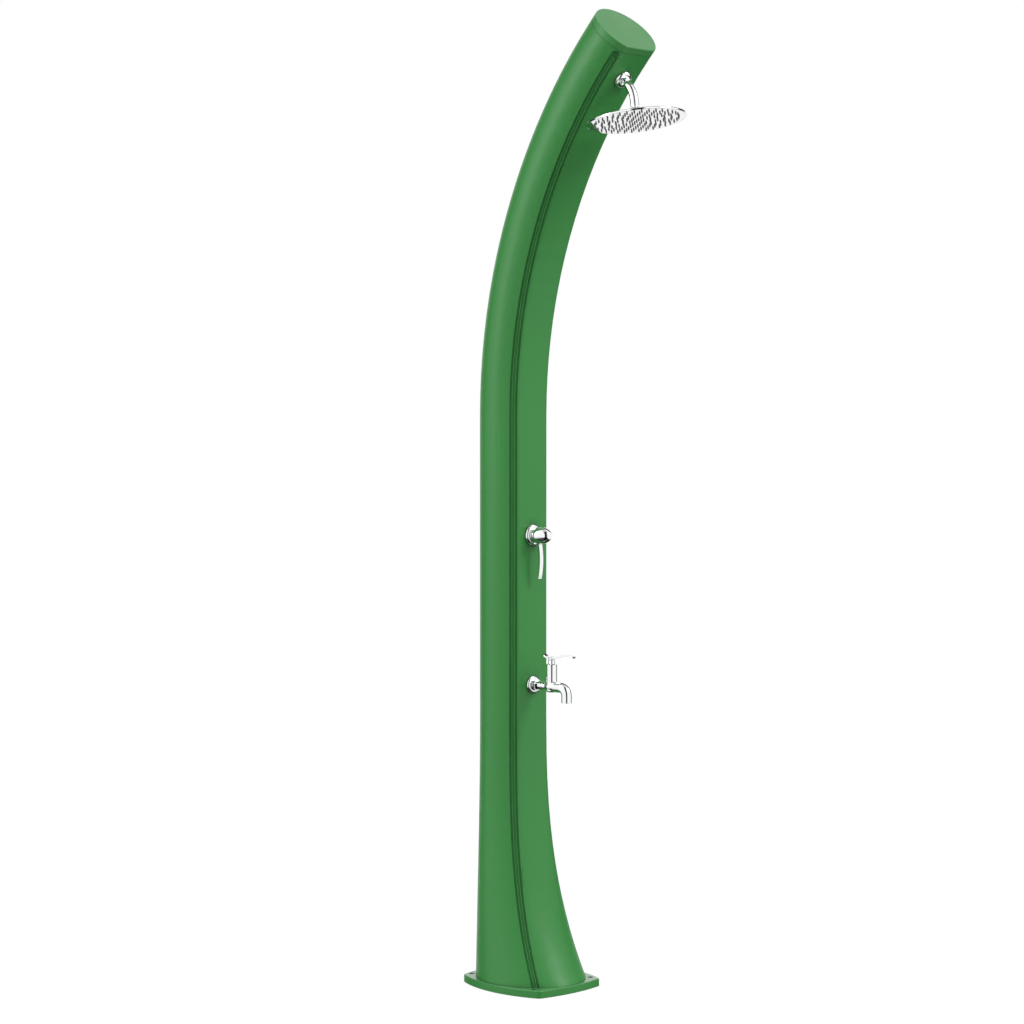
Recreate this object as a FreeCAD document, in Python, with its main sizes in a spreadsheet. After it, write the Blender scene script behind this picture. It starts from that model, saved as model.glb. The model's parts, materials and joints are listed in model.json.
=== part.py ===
import FreeCAD, Part
import math
import os
import re

import Sketcher
from FreeCAD import Placement, Rotation, Vector

# Outdoor shower post: a hollow moulded post that leans forward over the user, with a rain head
# on a short arm, a single-lever mixer and a foot tap. Millimetres, +Z up, the front faces -Y,
# and the origin is the middle of the base plate's underside.

SIZES = [
    # Base plate
    ("plate_thickness", 16.5, "base plate thickness"),
    ("plate_front_half", 92.5, "half width between the front corners"),
    ("plate_rear_half", 87.0, "half width between the rear corners"),
    ("plate_half_depth", 120.0, "half depth between the corners"),
    ("plate_front_bulge", 11.3, "bulge of the front edge"),
    ("plate_side_bulge", 28.5, "bulge of each side edge"),
    ("plate_rear_bulge", 12.6, "bulge of the rear edge"),
    ("plate_corner_radius", 16.0, "radius of the upright corners"),
    ("plate_edge_round", 2.5, "radius of the upper edge"),
    ("anchor_hole_radius", 5.5, "floor anchor holes"),
    ("anchor_front_half", 86.0, "front anchor holes, half spacing"),
    ("anchor_front_place", -97.0, "front anchor holes, Y"),
    ("anchor_rear_half", 70.0, "rear anchor holes, half spacing"),
    ("anchor_rear_place", 111.0, "rear anchor holes, Y"),
    # Post
    ("post_radius", 72.5, "radius of the round back and sides"),
    ("post_depth", 132.0, "flat front to round back"),
    ("post_centre", 53.5, "Y of the round's centre in the straight stretch"),
    ("front_bulge", 1.3, "bulge of the front face"),
    ("corner_reach", 4.6, "where the rounding of the front corners starts"),
    ("wall", 6.0, "post wall"),
    ("floor_thickness", 6.0, "post floor"),
    ("foot_half_width", 113.2, "half width at the base plate"),
    ("foot_half_depth", 125.8, "half depth of the foot's oval"),
    ("foot_centre", -0.75, "Y of the foot's oval"),
    ("foot_front", -101.2, "Y of the foot's front corners"),
    ("foot_bulge", 24.6, "bulge of the front face at the base plate"),
    ("foot_corner_reach", 9.0, "rounding of the front corners at the base plate"),
    ("flare_height", 580.0, "Z where the foot's flare ends"),
    ("flare_power_side", 2.06, "how the width grows down the flare"),
    ("flare_power_depth", 2.8, "how the depth grows down the flare"),
    ("bend_height", 1234.0, "Z where the lean starts"),
    ("bend_radius", 1111.7, "radius of the lean at the round's centre"),
    ("bend_angle", 44.7, "lean at the upper end, degrees"),
    # Side grooves
    ("groove_angle", 44.5, "place of each groove on the round, degrees from the front"),
    ("groove_half", 8.4, "half width of a groove"),
    ("groove_depth", 3.9, "depth of a groove"),
    ("bead_place", 3.1, "middle of each bead in a groove"),
    ("bead_half", 1.6, "half width of a bead at its root"),
    ("bead_height", 2.5, "height of a bead"),
    ("groove_end_gap", 3.0, "groove end to the cap joint"),
    # Cap
    ("cap_height", 15.7, "cap skirt"),
    ("cap_top", 5.0, "cap top"),
    ("cap_round", 2.0, "radius of the cap's upper edge"),
    ("spigot_length", 12.0, "cap spigot inside the post"),
    ("spigot_wall", 4.0, "cap spigot wall"),
    ("spigot_gap", 0.2, "cap spigot clearance"),
    ("seal_thickness", 0.8, "cap seal"),
    ("seal_inset", 0.6, "cap seal behind the post's surface"),
    # Wall stations
    ("spot_depth", 0.6, "spot face in the bulged front"),
    ("boss_wall", 7.5, "wall at a station"),
    ("gasket", 2.0, "wall gaskets"),
    ("slip", 0.05, "radial gap of fitted parts"),
    ("pass_gap", 0.2, "radial gap where a thread passes the wall"),
    ("mixer_height", 975.0, "Z of the mixer"),
    ("tap_height", 652.0, "Z of the foot tap"),
    ("arm_angle", 41.4, "place of the arm on the lean, degrees"),
    # Pipes
    ("pipe_radius", 8.0, "pipes inside the post"),
    ("pipe_bore", 6.0, "bore of the pipes"),
    ("branch_bore", 5.6, "branch waterway of the fittings"),
    ("branch_step", 0.3, "branch horns inside the main horn"),
    ("socket_radius", 11.0, "pipe sockets of the fittings"),
    ("socket_depth", 12.0, "pipe depth in a socket"),
    ("tee_reach", 22.0, "fitting centre to socket mouth"),
    ("feed_place", 83.0, "Y of the upright feed pipe"),
    ("feed_bend", 70.0, "bend radius of the feed pipe"),
    ("feed_bend_start", 0.35, "start of the feed pipe's crook, share of the way from tap to mixer"),
    ("feed_bend_end", 0.65, "end of the crook, share of the same way"),
    ("elbow_run", 14.0, "straight end of the riser pipe below its elbow"),
    ("elbow_waterway", 9.0, "nipple's end above the elbow's middle"),
    ("hot_end_short", 2.2, "hot pipe's end before the cap joint, degrees"),
    # Mixer
    ("mixer_radius", 23.0, "mixer valve body"),
    ("mixer_length", 56.0, "mixer valve body behind its gasket"),
    ("mixer_neck_radius", 17.0, "valve neck through the wall"),
    ("mixer_neck_reach", 6.0, "valve neck in front of the wall"),
    ("mixer_tail", 36.0, "mixer centre to the end of a tail"),
    ("outlet_depth", 31.0, "outlet tail behind the front face"),
    ("cold_depth", 42.0, "cold tail behind the front face"),
    ("hot_depth", 54.0, "hot tail behind the front face"),
    ("outlet_level", 11.0, "outlet waterway above the mixer axis"),
    ("hot_level", 3.0, "hot waterway above the mixer axis"),
    ("cold_level", 8.0, "cold waterway below the mixer axis"),
    ("channel_radius", 3.2, "waterways along the valve body"),
    ("tail_bore", 4.5, "waterways of the tails"),
    ("cartridge_radius", 13.4, "mixer cartridge"),
    ("cartridge_depth", 22.0, "mixer cartridge behind the front face"),
    ("carrier_radius", 9.0, "turning carrier in the cartridge"),
    ("carrier_gap", 0.3, "running gap of the carrier"),
    ("carrier_depth", 6.0, "carrier behind the front face"),
    ("sleeve_radius", 13.0, "sleeve between rosette and cap"),
    ("sleeve_reach", 21.0, "end of the sleeve"),
    ("sleeve_ball", 16.6, "ball of the sleeve, under the mixer cap"),
    ("lift_place", 12.3, "lift axis in front of the wall"),
    ("stem_radius", 4.0, "cartridge stem"),
    ("stem_start", 5.0, "rear end of the stem"),
    ("stem_end", 34.0, "end of the stem in the cap"),
    ("stem_pin_radius", 1.5, "stem pin"),
    ("cap_start", 16.8, "rear rim of the mixer cap"),
    ("cap_radius", 19.1, "mixer cap"),
    ("cap_end", 51.5, "front of the mixer cap"),
    ("cap_cavity", 17.0, "ball-shaped hollow of the mixer cap, radius"),
    ("cap_floor", 28.5, "end of the hollow"),
    ("cap_dome_start", 22.0, "start of the mixer cap's dome"),
    ("cap_flat", 7.5, "flat middle of the dome, radius"),
    ("grub_place", 31.2, "grub screw in front of the wall"),
    ("grub_radius", 2.0, "grub screw and its plug"),
    ("grub_length", 8.0, "grub screw of the mixer cap"),
    ("plug_length", 3.0, "plug over the grub screw"),
    ("plug_depth", 4.4, "inner end of the plug below the cap's side"),
    ("lever_seat", 17.2, "lever seat below the cap's axis"),
    ("lever_place", 20.9, "lever in front of the wall"),
    ("lever_bow", 3.8, "bow of the lever"),
    ("lever_length", 77.5, "mixer lever from its seat"),
    ("lever_width", 10.0, "mixer lever width"),
    ("lever_thickness", 4.6, "mixer lever thickness"),
    ("lever_stud_radius", 2.5, "mixer lever stud"),
    ("mixer_rosette_radius", 24.0, "mixer rosette"),
    ("mixer_rosette_height", 8.5, "mixer rosette"),
    ("rosette_wall", 1.5, "metal of the rosettes"),
    ("rosette_side", 1.2, "straight side of the rosettes"),
    ("crown_margin", 1.0, "flat crown of a rosette round its collar"),
    # Foot tap
    ("nipple_radius", 10.4, "wall nipples"),
    ("nipple_bore", 6.0, "waterway of the nipples"),
    ("nipple_flange", 16.0, "flange of the nipples"),
    ("nipple_flange_thickness", 5.0, "flange of the nipples"),
    ("nipple_tail", 29.8, "tap nipple behind the front face"),
    ("wall_nut_thickness", 4.0, "outside nuts"),
    ("wall_nut_radius", 15.5, "outside nuts"),
    ("tap_thread", 10.0, "tap nipple in front of the wall"),
    ("tap_rosette_radius", 19.5, "tap rosette"),
    ("tap_rosette_height", 7.0, "tap rosette"),
    ("tap_collar_radius", 12.2, "tap collar"),
    ("tap_collar_end", 15.0, "end of the tap collar"),
    ("tap_horn_radius", 9.6, "tap body between collar and column"),
    ("tap_column_place", 57.6, "tap column in front of the wall"),
    ("tap_column_radius", 11.9, "tap column"),
    ("tap_column_top", 46.0, "tap column above its axis"),
    ("tap_column_bottom", 12.5, "tap column below its axis"),
    ("tap_foot_round", 4.3, "rounding of the tap column's foot"),
    ("tap_belly_radius", 12.9, "oval belly of the tap body"),
    ("tap_belly_length", 23.0, "middle of the belly to its end"),
    ("tap_cast_round", 4.0, "rounding where horn, column and spout meet"),
    ("tap_chamber_radius", 8.5, "tap chamber"),
    ("spout_radius", 11.3, "spout"),
    ("spout_bore", 8.0, "spout bore"),
    ("spout_bend", 17.0, "spout bend"),
    ("spout_reach", 102.3, "spout end in front of the wall"),
    ("spout_drop", 32.5, "spout end below the tap axis"),
    ("aerator_radius", 9.2, "aerator"),
    ("aerator_depth", 6.0, "aerator"),
    ("aerator_bore", 6.5, "aerator outlet"),
    ("bonnet_radius", 7.3, "bonnet of the tap"),
    ("bonnet_height", 11.0, "bonnet of the tap"),
    ("headwork_neck", 5.4, "headwork inside the bonnet"),
    ("spindle_radius", 3.5, "tap spindle"),
    ("spindle_foot", 20.0, "lower end of the tap spindle above the tap axis"),
    ("handle_hub_radius", 7.0, "hub of the tap lever"),
    ("handle_hub_height", 6.5, "hub of the tap lever"),
    ("handle_gap", 0.5, "gap below the tap lever"),
    ("handle_width", 10.0, "width of the tap lever"),
    ("handle_thickness", 4.0, "thickness of the tap lever"),
    ("lever_screw_radius", 2.0, "screw of the tap lever"),
    ("lever_screw_head", 4.2, "head of the tap lever's screw, radius"),
    # Arm and head
    ("arm_reach", 40.7, "wall to the arm's corner"),
    ("arm_drop", 62.1, "arm's corner to the head's rim plane"),
    ("arm_bend", 55.0, "bend radius of the arm"),
    ("arm_radius", 9.0, "arm tube"),
    ("arm_bore", 6.5, "bore of the arm tube"),
    ("arm_start", 8.0, "start of the arm tube in front of the wall"),
    ("arm_collar_radius", 12.0, "collar of the arm"),
    ("arm_collar_end", 17.0, "end of the collar"),
    ("arm_rosette_radius", 19.8, "arm rosette"),
    ("arm_rosette_height", 9.0, "arm rosette"),
    ("head_tilt", 8.9, "spray direction forward of straight down, degrees"),
    ("head_radius", 104.5, "rain head"),
    ("head_rim", 2.5, "half height of the rim"),
    ("head_dome", 9.6, "dome above the rim plane"),
    ("head_metal", 2.3, "metal of the head's top"),
    ("rim_wall", 2.4, "metal of the head's rim"),
    ("hub_bore", 5.0, "waterway of the hub and the mouth of the nut"),
    ("hub_inset", 0.9, "water chamber's upper edge outside the hub"),
    ("hub_radius", 12.6, "hub of the head"),
    ("ball_height", 17.0, "ball centre above the rim plane"),
    ("ball_radius", 9.0, "ball"),
    ("ball_gap", 0.06, "running gap of the ball and its cup"),
    ("cup_wall", 2.0, "cup round the ball"),
    ("ball_neck", 5.5, "neck between ball and arm"),
    ("ball_bore", 4.0, "waterway of the ball"),
    ("ball_shoulder", 11.0, "arm's end above the ball centre"),
    ("ball_tail", 9.0, "ball's tail inside the arm tube"),
    ("nut_radius", 15.5, "head nut"),
    ("nut_low", 7.0, "head nut below the ball centre"),
    ("nut_high", 8.0, "head nut above the ball centre"),
    ("nut_lip", 4.8, "lip of the head nut above the ball centre"),
    ("face_thickness", 2.0, "nozzle plate"),
    ("mat_thickness", 1.5, "nozzle mat"),
    ("mat_radius", 96.5, "nozzle mat"),
    ("nozzle_radius", 1.9, "nozzle root"),
    ("nozzle_tip", 1.3, "nozzle tip"),
    ("nozzle_reach", 4.0, "nozzle in front of the plate"),
    ("nozzle_bore", 0.5, "nozzle bore"),
    ("nozzle_rings", 6, "rings of nozzles round the middle one"),
    ("nozzle_pitch", 14.6, "ring to ring"),
    # Inlet and drain at the rear of the foot
    ("pad_plane", 129.0, "Y of the rear pad"),
    ("pad_half_width", 22.0, "rear pad"),
    ("pad_wall", 12.0, "wall at the rear pad"),
    ("inlet_height", 88.0, "Z of the inlet"),
    ("inlet_thread_radius", 13.2, "hose thread of the inlet"),
    ("inlet_thread_length", 14.0, "hose thread of the inlet"),
    ("inlet_flange_radius", 17.0, "inlet flange"),
    ("inlet_flange_thickness", 6.0, "inlet flange"),
    ("inlet_bore", 7.0, "inlet waterway"),
    ("tank_valve_radius", 9.5, "valve that feeds the tank"),
    ("tank_valve_length", 24.0, "valve that feeds the tank"),
    ("drain_height", 42.0, "Z of the drain plug"),
    ("drain_radius", 8.1, "drain thread"),
    ("drain_head_radius", 12.5, "drain plug head"),
    ("drain_head_height", 7.0, "drain plug head"),
    ("drain_seal_thickness", 1.6, "drain seal"),
    # Screws between plate and post
    ("base_screw_radius", 2.95, "base screws"),
    ("base_screw_length", 30.0, "base screws under the head"),
    ("base_head_radius", 6.5, "heads of the base screws"),
    ("base_head_height", 4.0, "heads of the base screws"),
    ("base_counterbore", 6.0, "counterbore under the plate"),
    ("base_boss_radius", 9.0, "bosses in the post's floor"),
    ("base_boss_height", 28.0, "bosses above the plate"),
    ("base_screw_half_width", 55.0, "base screws, half spacing in X"),
    ("base_screw_half_depth", 68.0, "base screws, half spacing in Y"),
]

doc = FreeCAD.newDocument("shower_post")
sheet = doc.addObject("Spreadsheet::Sheet", "sizes")
for row, (alias, value, note) in enumerate(SIZES, start=1):
    sheet.set(f"A{row}", note)
    sheet.set(f"B{row}", str(value))
    sheet.setAlias(f"B{row}", alias)
doc.recompute()

X_AXIS = Vector(1, 0, 0)
Y_AXIS = Vector(0, 1, 0)
Z_AXIS = Vector(0, 0, 1)
ORIGIN = Vector(0, 0, 0)
NAMES = {alias for alias, value, note in SIZES}


def bound(text):
    """Spell a formula of sheet names the way an expression wants it."""
    return re.sub(r"[a-z][a-z_]+", lambda m: "sizes." + m[0] if m[0] in NAMES else m[0], str(text))


def size(text):
    """Value of a formula of sheet names."""
    return float(sheet.evalExpression(bound(text)))


# ---------------------------------------------------------------- object builders

PARTS = []


def part(node, obj):
    obj.Label = node
    PARTS.append((node, obj))
    return obj


def origin_plane(body, plane_role):
    return next(feature for feature in body.Origin.OriginFeatures if feature.Role == plane_role)


def outline_sketch(body, name, plane_role, points):
    """Closed outline whose corners are bound to (across, up) formulas."""
    sketch = body.newObject("Sketcher::SketchObject", name)
    sketch.AttachmentSupport = [(origin_plane(body, plane_role), "")]
    sketch.MapMode = "FlatFace"
    corners = [Vector(size(across), size(up), 0) for across, up in points]
    count = len(corners)
    lines = [Part.LineSegment(corners[i], corners[(i + 1) % count]) for i in range(count)]
    sketch.addGeometry(lines)
    rules = [Sketcher.Constraint("Coincident", i, 2, (i + 1) % count, 1) for i in range(count)]
    formulas = []
    for i, (across, up) in enumerate(points):
        for kind, axis, value, formula in (
            ("DistanceX", -2, corners[i].x, across),
            ("DistanceY", -1, corners[i].y, up),
        ):
            if abs(value) < 1e-9:
                rules.append(Sketcher.Constraint("PointOnObject", i, 1, axis))
            else:
                formulas.append((len(rules), formula))
                rules.append(Sketcher.Constraint(kind, -1, 1, i, 1, value))
    sketch.addConstraint(rules)
    for number, formula in formulas:
        sketch.setExpression(f"Constraints[{number}]", bound(formula))
    return sketch


def turned(node, points, place=None):
    """Body turned about its own Z axis from an outline of (radius, height) formulas."""
    body = doc.addObject("PartDesign::Body", node)
    sketch = outline_sketch(body, node + "_outline", "XZ_Plane", points)
    turn = body.newObject("PartDesign::Revolution", node + "_turn")
    turn.Profile = sketch
    turn.ReferenceAxis = (sketch, ["V_Axis"])
    turn.Angle = 360
    body.Placement = place or Placement()
    return body


def ring(node, inner, outer, low, high, place=None):
    points = [(inner, low), (outer, low), (outer, high), (inner, high)]
    return turned(node, points, place)


def padded(node, points, length, place=None):
    """Body padded up its own Z axis from an outline of (x, y) formulas."""
    body = doc.addObject("PartDesign::Body", node)
    sketch = outline_sketch(body, node + "_outline", "XY_Plane", points)
    pad = body.newObject("PartDesign::Pad", node + "_pad")
    pad.Profile = sketch
    pad.setExpression("Length", bound(length))
    body.Placement = place or Placement()
    return body


def cylinder(name, radius, height, place=None):
    obj = doc.addObject("Part::Cylinder", name)
    obj.setExpression("Radius", bound(radius))
    obj.setExpression("Height", bound(height))
    obj.Placement = place or Placement()
    return obj


def sphere(name, radius, place=None, low=-90, high=90):
    obj = doc.addObject("Part::Sphere", name)
    obj.setExpression("Radius", bound(radius))
    obj.Angle1 = low
    obj.Angle2 = high
    obj.Placement = place or Placement()
    return obj


def box(name, length, width, height, place=None):
    obj = doc.addObject("Part::Box", name)
    obj.setExpression("Length", bound(length))
    obj.setExpression("Width", bound(width))
    obj.setExpression("Height", bound(height))
    obj.Placement = place or Placement()
    return obj


def fused(name, shapes):
    obj = doc.addObject("Part::MultiFuse", name)
    obj.Shapes = shapes
    obj.Refine = True
    return obj


def cut(name, base, tool):
    obj = doc.addObject("Part::Cut", name)
    obj.Base = base
    obj.Tool = tool
    return obj


def fixed_shape(name, shape, place=None):
    obj = doc.addObject("Part::Feature", name)
    obj.Shape = shape
    if place:
        obj.Placement = place
    return obj


# ---------------------------------------------------------------- places

front_plane = size("post_centre - post_depth + post_radius")
spot_plane = front_plane - size("front_bulge - spot_depth")
bend_centre = Vector(0, size("post_centre - bend_radius"), size("bend_height"))


def leaned(angle):
    """Turns what is modelled at the start of the lean to an angle of the lean."""
    return Placement(ORIGIN, Rotation(X_AXIS, angle), bend_centre)


def front_station(height):
    """Local Z points out of the front face and local Y points up."""
    return Placement(Vector(0, spot_plane, height), Rotation(X_AXIS, 90))


def rear_station(height):
    """Local Z points out of the rear pad and local Y points down."""
    return Placement(Vector(0, size("pad_plane"), height), Rotation(X_AXIS, -90))


def at(place, x=0, y=0, z=0, rotation=None):
    return place.multiply(Placement(Vector(x, y, z), rotation or Rotation()))


mixer_place = front_station(size("mixer_height"))
tap_place = front_station(size("tap_height"))
arm_place = leaned(size("arm_angle")).multiply(front_station(size("bend_height")))
inlet_place = rear_station(size("inlet_height"))
drain_place = rear_station(size("drain_height"))
DOWN = Rotation(X_AXIS, 90)
ASIDE = Rotation(Y_AXIS, 90)

# ---------------------------------------------------------------- post sections


def section_wire(half_width, half_depth, centre, front, bulge, reach, inset=0.0, height=0.0):
    """Oval cut flat at the front: bulged front edge, eased corners and an arc each side."""
    a = half_width - inset
    b = half_depth - inset
    flat = front + inset
    down = (centre - flat) / b
    corner_x = a * math.sqrt(1 - down * down)
    rise = (corner_x ** 2 + bulge ** 2) / (2 * bulge)
    ease = reach / 4 if reach <= inset else reach

    def oval(t):
        return Vector(a * math.sin(t), centre - b * math.cos(t), height)

    def oval_slope(t):
        return Vector(a * math.cos(t), b * math.sin(t), 0)

    def crown(x):
        return Vector(x, flat - bulge + rise - math.sqrt(rise ** 2 - x * x), height)

    corner_turn = math.asin(corner_x / a)
    start_turn = corner_turn + ease / math.hypot(a * math.cos(corner_turn), b * math.sin(corner_turn))
    start_x = corner_x - ease
    from_front = crown(start_x)
    front_slope = Vector(math.sqrt(rise ** 2 - start_x ** 2), start_x, 0).normalize()
    to_side = oval(start_turn)
    side_slope = oval_slope(start_turn).normalize()
    gap = to_side - from_front
    along = (gap.x * side_slope.y - gap.y * side_slope.x) / (
        front_slope.x * side_slope.y - front_slope.y * side_slope.x
    )
    knee = from_front + front_slope * along

    def mirror(v):
        return Vector(-v.x, v.y, v.z)

    def corner(points):
        curve = Part.BezierCurve()
        curve.setPoles(points)
        return curve.toShape()

    side_turn = (start_turn + math.pi) / 2
    front_edge = Part.Arc(mirror(from_front), crown(0), from_front).toShape()
    rear = oval(math.pi)
    if abs(a - b) < 1e-6:
        right = Part.Arc(to_side, oval(side_turn), rear).toShape()
        left = Part.Arc(rear, mirror(oval(side_turn)), mirror(to_side)).toShape()
    else:
        right = oval_edge(a, b, centre, height, start_turn, math.pi)
        left = oval_edge(a, b, centre, height, math.pi, 2 * math.pi - start_turn)
    edges = [
        front_edge,
        corner([from_front, knee, to_side]),
        right,
        left,
        corner([mirror(to_side), mirror(knee), mirror(from_front)]),
    ]
    return Part.Wire(edges)


def oval_edge(a, b, centre, height, start, end):
    """Arc of an oval, by its angle from the front round to the right."""
    middle = Vector(0, centre, height)
    if b > a:
        curve = Part.Ellipse(middle + Vector(0, -b, 0), middle + Vector(a, 0, 0), middle)
        return Part.ArcOfEllipse(curve, start, end).toShape()
    curve = Part.Ellipse(middle + Vector(a, 0, 0), middle + Vector(0, b, 0), middle)
    return Part.ArcOfEllipse(curve, start - math.pi / 2, end - math.pi / 2).toShape()


def blend(name_top, name_foot, share):
    top = size(name_top)
    return top + (size(name_foot) - top) * share


def flare_section(height):
    """Section values in the flare, or in the straight stretch above it."""
    down = max(0.0, (size("flare_height") - height) / size("flare_height - plate_thickness"))
    wide = down ** size("flare_power_side")
    deep = down ** size("flare_power_depth")
    return dict(
        half_width=blend("post_radius", "foot_half_width", wide),
        half_depth=blend("post_radius", "foot_half_depth", deep),
        centre=blend("post_centre", "foot_centre", deep),
        front=blend("post_centre - post_depth + post_radius", "foot_front", deep),
        bulge=blend("front_bulge", "foot_bulge", deep),
        reach=blend("corner_reach", "foot_corner_reach", deep),
    )


FLARE_STEPS = 9
foot_level = size("plate_thickness")
flare_top = size("flare_height")
flare_heights = [
    foot_level + (flare_top - foot_level) * step / FLARE_STEPS for step in range(FLARE_STEPS + 1)
]
straight_length = size("bend_height") - flare_top


def post_solid(inset):
    """Flare, straight stretch and lean, with the same section drawn in by an inset."""
    wires = [
        section_wire(**flare_section(height), inset=inset, height=height)
        for height in flare_heights
    ]
    flare = Part.makeLoft(wires, True, False)
    straight = Part.Face(wires[-1]).extrude(Vector(0, 0, straight_length))
    bend_wire = section_wire(**flare_section(flare_top), inset=inset, height=size("bend_height"))
    lean = Part.Face(bend_wire).revolve(bend_centre, X_AXIS, size("bend_angle"))
    return flare.fuse([straight, lean])


def top_section(inset):
    return section_wire(**flare_section(flare_top), inset=inset, height=size("bend_height"))


def ring_prism(outer_inset, inner_inset, low, high):
    """Band that follows the post's section, between two insets and two levels."""
    shape = Part.Face(top_section(outer_inset)).extrude(Vector(0, 0, high - low))
    if inner_inset is not None:
        shape = shape.cut(Part.Face(top_section(inner_inset)).extrude(Vector(0, 0, high - low)))
    shape.translate(Vector(0, 0, low))
    return shape


# ---------------------------------------------------------------- side grooves


def groove_frame(height, side):
    """Middle of the groove on the section's surface, with its tangent and outward normal."""
    values = flare_section(height)
    a, b, centre = values["half_width"], values["half_depth"], values["centre"]
    down = (centre - values["front"]) / b
    turn = math.asin(math.sqrt(1 - down * down))
    round_turn = math.asin(math.sqrt(1 - (size("post_depth") / size("post_radius") - 1) ** 2))
    travel = (math.radians(size("groove_angle")) - round_turn) * size("post_radius")
    steps = 40
    for step in range(steps):
        turn += travel / steps / math.hypot(a * math.cos(turn), b * math.sin(turn))
    place = Vector(side * a * math.sin(turn), centre - b * math.cos(turn), height)
    tangent = Vector(side * a * math.cos(turn), b * math.sin(turn), 0).normalize()
    normal = Vector(side * b * math.sin(turn), -a * math.cos(turn), 0).normalize()
    return place, tangent, normal


def groove_wire(height, side, level=None):
    """Cutter outline of a groove: a channel with two beads left standing in it."""
    place, tangent, normal = groove_frame(height, side)
    half = size("groove_half")
    deep = -size("groove_depth")
    crest = deep + size("bead_height")
    middle = size("bead_place")
    root = size("bead_half")
    tip = root * 0.3
    profile = [(half + 1.0, 3.0), (half - 0.6, deep)]
    profile += [(middle + root, deep), (middle + tip, crest), (middle - tip, crest), (middle - root, deep)]
    profile += [(-x, y) for x, y in reversed(profile)]
    points = [place + tangent * x + normal * y for x, y in profile]
    if level is not None:
        points = [Vector(p.x, p.y, level) for p in points]
    return Part.makePolygon(points + [points[0]])


def groove_cutter(side):
    start = foot_level
    wires = [groove_wire(height, side) for height in flare_heights]
    flare = Part.makeLoft(wires, True, False)
    straight = Part.Face(wires[-1]).extrude(Vector(0, 0, straight_length))
    reach = math.degrees(size("groove_half + groove_end_gap") / size("bend_radius"))
    bend_wire = groove_wire(flare_top, side, size("bend_height"))
    lean_angle = size("bend_angle") - reach
    lean = Part.Face(bend_wire).revolve(bend_centre, X_AXIS, lean_angle)
    place, tangent, normal = groove_frame(flare_top, side)
    place.z = size("bend_height")
    deep = size("groove_depth")
    end = Part.makeCylinder(size("groove_half - 0.3"), deep + 3, place - normal * deep, normal)
    end.Placement = leaned(lean_angle).multiply(end.Placement)
    return flare.fuse([straight, lean, end])


# ---------------------------------------------------------------- post shell

WIDE = 200  # wider than the post's foot on each side
THROUGH = 30  # deeper than any wall that a hole passes
CLEAR = 5  # past a wall's outer face
STATIONS = [
    (mixer_place, "mixer_neck_radius + pass_gap", "mixer_rosette_radius + 1"),
    (tap_place, "nipple_radius + pass_gap", "tap_rosette_radius + 1"),
    (arm_place, "nipple_radius + pass_gap", "arm_rosette_radius + 1"),
]


def placed_cylinder(place, radius, low, high):
    shape = Part.makeCylinder(radius, high - low, Vector(0, 0, low))
    shape.Placement = place
    return shape


def base_screw_spots():
    return [
        Vector(side * size("base_screw_half_width"), end * size("base_screw_half_depth"), 0)
        for side in (-1, 1)
        for end in (-1, 1)
    ]


def rear_pad():
    """Flat pad at the rear of the foot for the inlet and the drain plug."""
    half = size("pad_half_width")
    low = foot_level
    high = size("inlet_height")
    back = size("pad_plane - pad_wall")
    slab = Part.makeBox(2 * half, size("pad_wall"), high - low, Vector(-half, back, low))
    crown = Part.makeCylinder(half, size("pad_wall"), Vector(0, back, high), Y_AXIS)
    return slab.fuse(crown)


def make_shell():
    shell = post_solid(0.0)
    hollow = post_solid(size("wall"))
    floor = Part.makeBox(2 * WIDE, 2 * WIDE, size("floor_thickness"), Vector(-WIDE, -WIDE, foot_level))
    hollow = hollow.cut(floor)
    shell = shell.cut(hollow)
    additions = [rear_pad()]
    for spot in base_screw_spots():
        spot.z = foot_level
        additions.append(Part.makeCylinder(size("base_boss_radius"), size("base_boss_height"), spot))
    for place, hole, spot_radius in STATIONS:
        additions.append(placed_cylinder(place, size(spot_radius), -size("boss_wall"), -1.0))
    shell = shell.fuse(additions)
    cuts = [groove_cutter(-1), groove_cutter(1)]
    for place, hole, spot_radius in STATIONS:
        cuts.append(placed_cylinder(place, size(hole), -THROUGH, CLEAR))
        cuts.append(placed_cylinder(place, size(spot_radius), 0, CLEAR))
    for place, hole in ((inlet_place, "nipple_radius + pass_gap"), (drain_place, "drain_radius + slip")):
        cuts.append(placed_cylinder(place, size(hole), -THROUGH, CLEAR))
    for spot in base_screw_spots():
        depth = size("base_screw_length + 2 - plate_thickness + base_counterbore")
        spot.z = foot_level
        cuts.append(Part.makeCylinder(size("base_screw_radius + slip"), depth, spot))
    for tool in cuts:
        shell = shell.cut(tool)
    return shell.removeSplitter()


part("post_shell", fixed_shape("post_shell", make_shell()))


def make_cap():
    low = size("seal_thickness")
    high = low + size("cap_height")
    body = ring_prism(0.0, None, low, high)
    top_edges = [
        edge
        for edge in body.Edges
        if all(abs(v.Z - size("bend_height") - high) < 1e-6 for v in edge.Vertexes)
    ]
    body = body.makeFillet(size("cap_round"), top_edges)
    inner = size("wall + spigot_wall")
    pocket = ring_prism(inner, None, low, high - size("cap_top"))
    spigot = ring_prism(size("wall + spigot_gap"), inner, -size("spigot_length"), low)
    return body.cut(pocket).fuse(spigot).removeSplitter()


cap_place = leaned(size("bend_angle"))
part("top_cap", fixed_shape("top_cap", make_cap(), cap_place))
seal_band = ring_prism(size("seal_inset"), size("wall"), 0, size("seal_thickness"))
part("cap_seal", fixed_shape("cap_seal", seal_band, cap_place))


# ---------------------------------------------------------------- base plate


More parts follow.
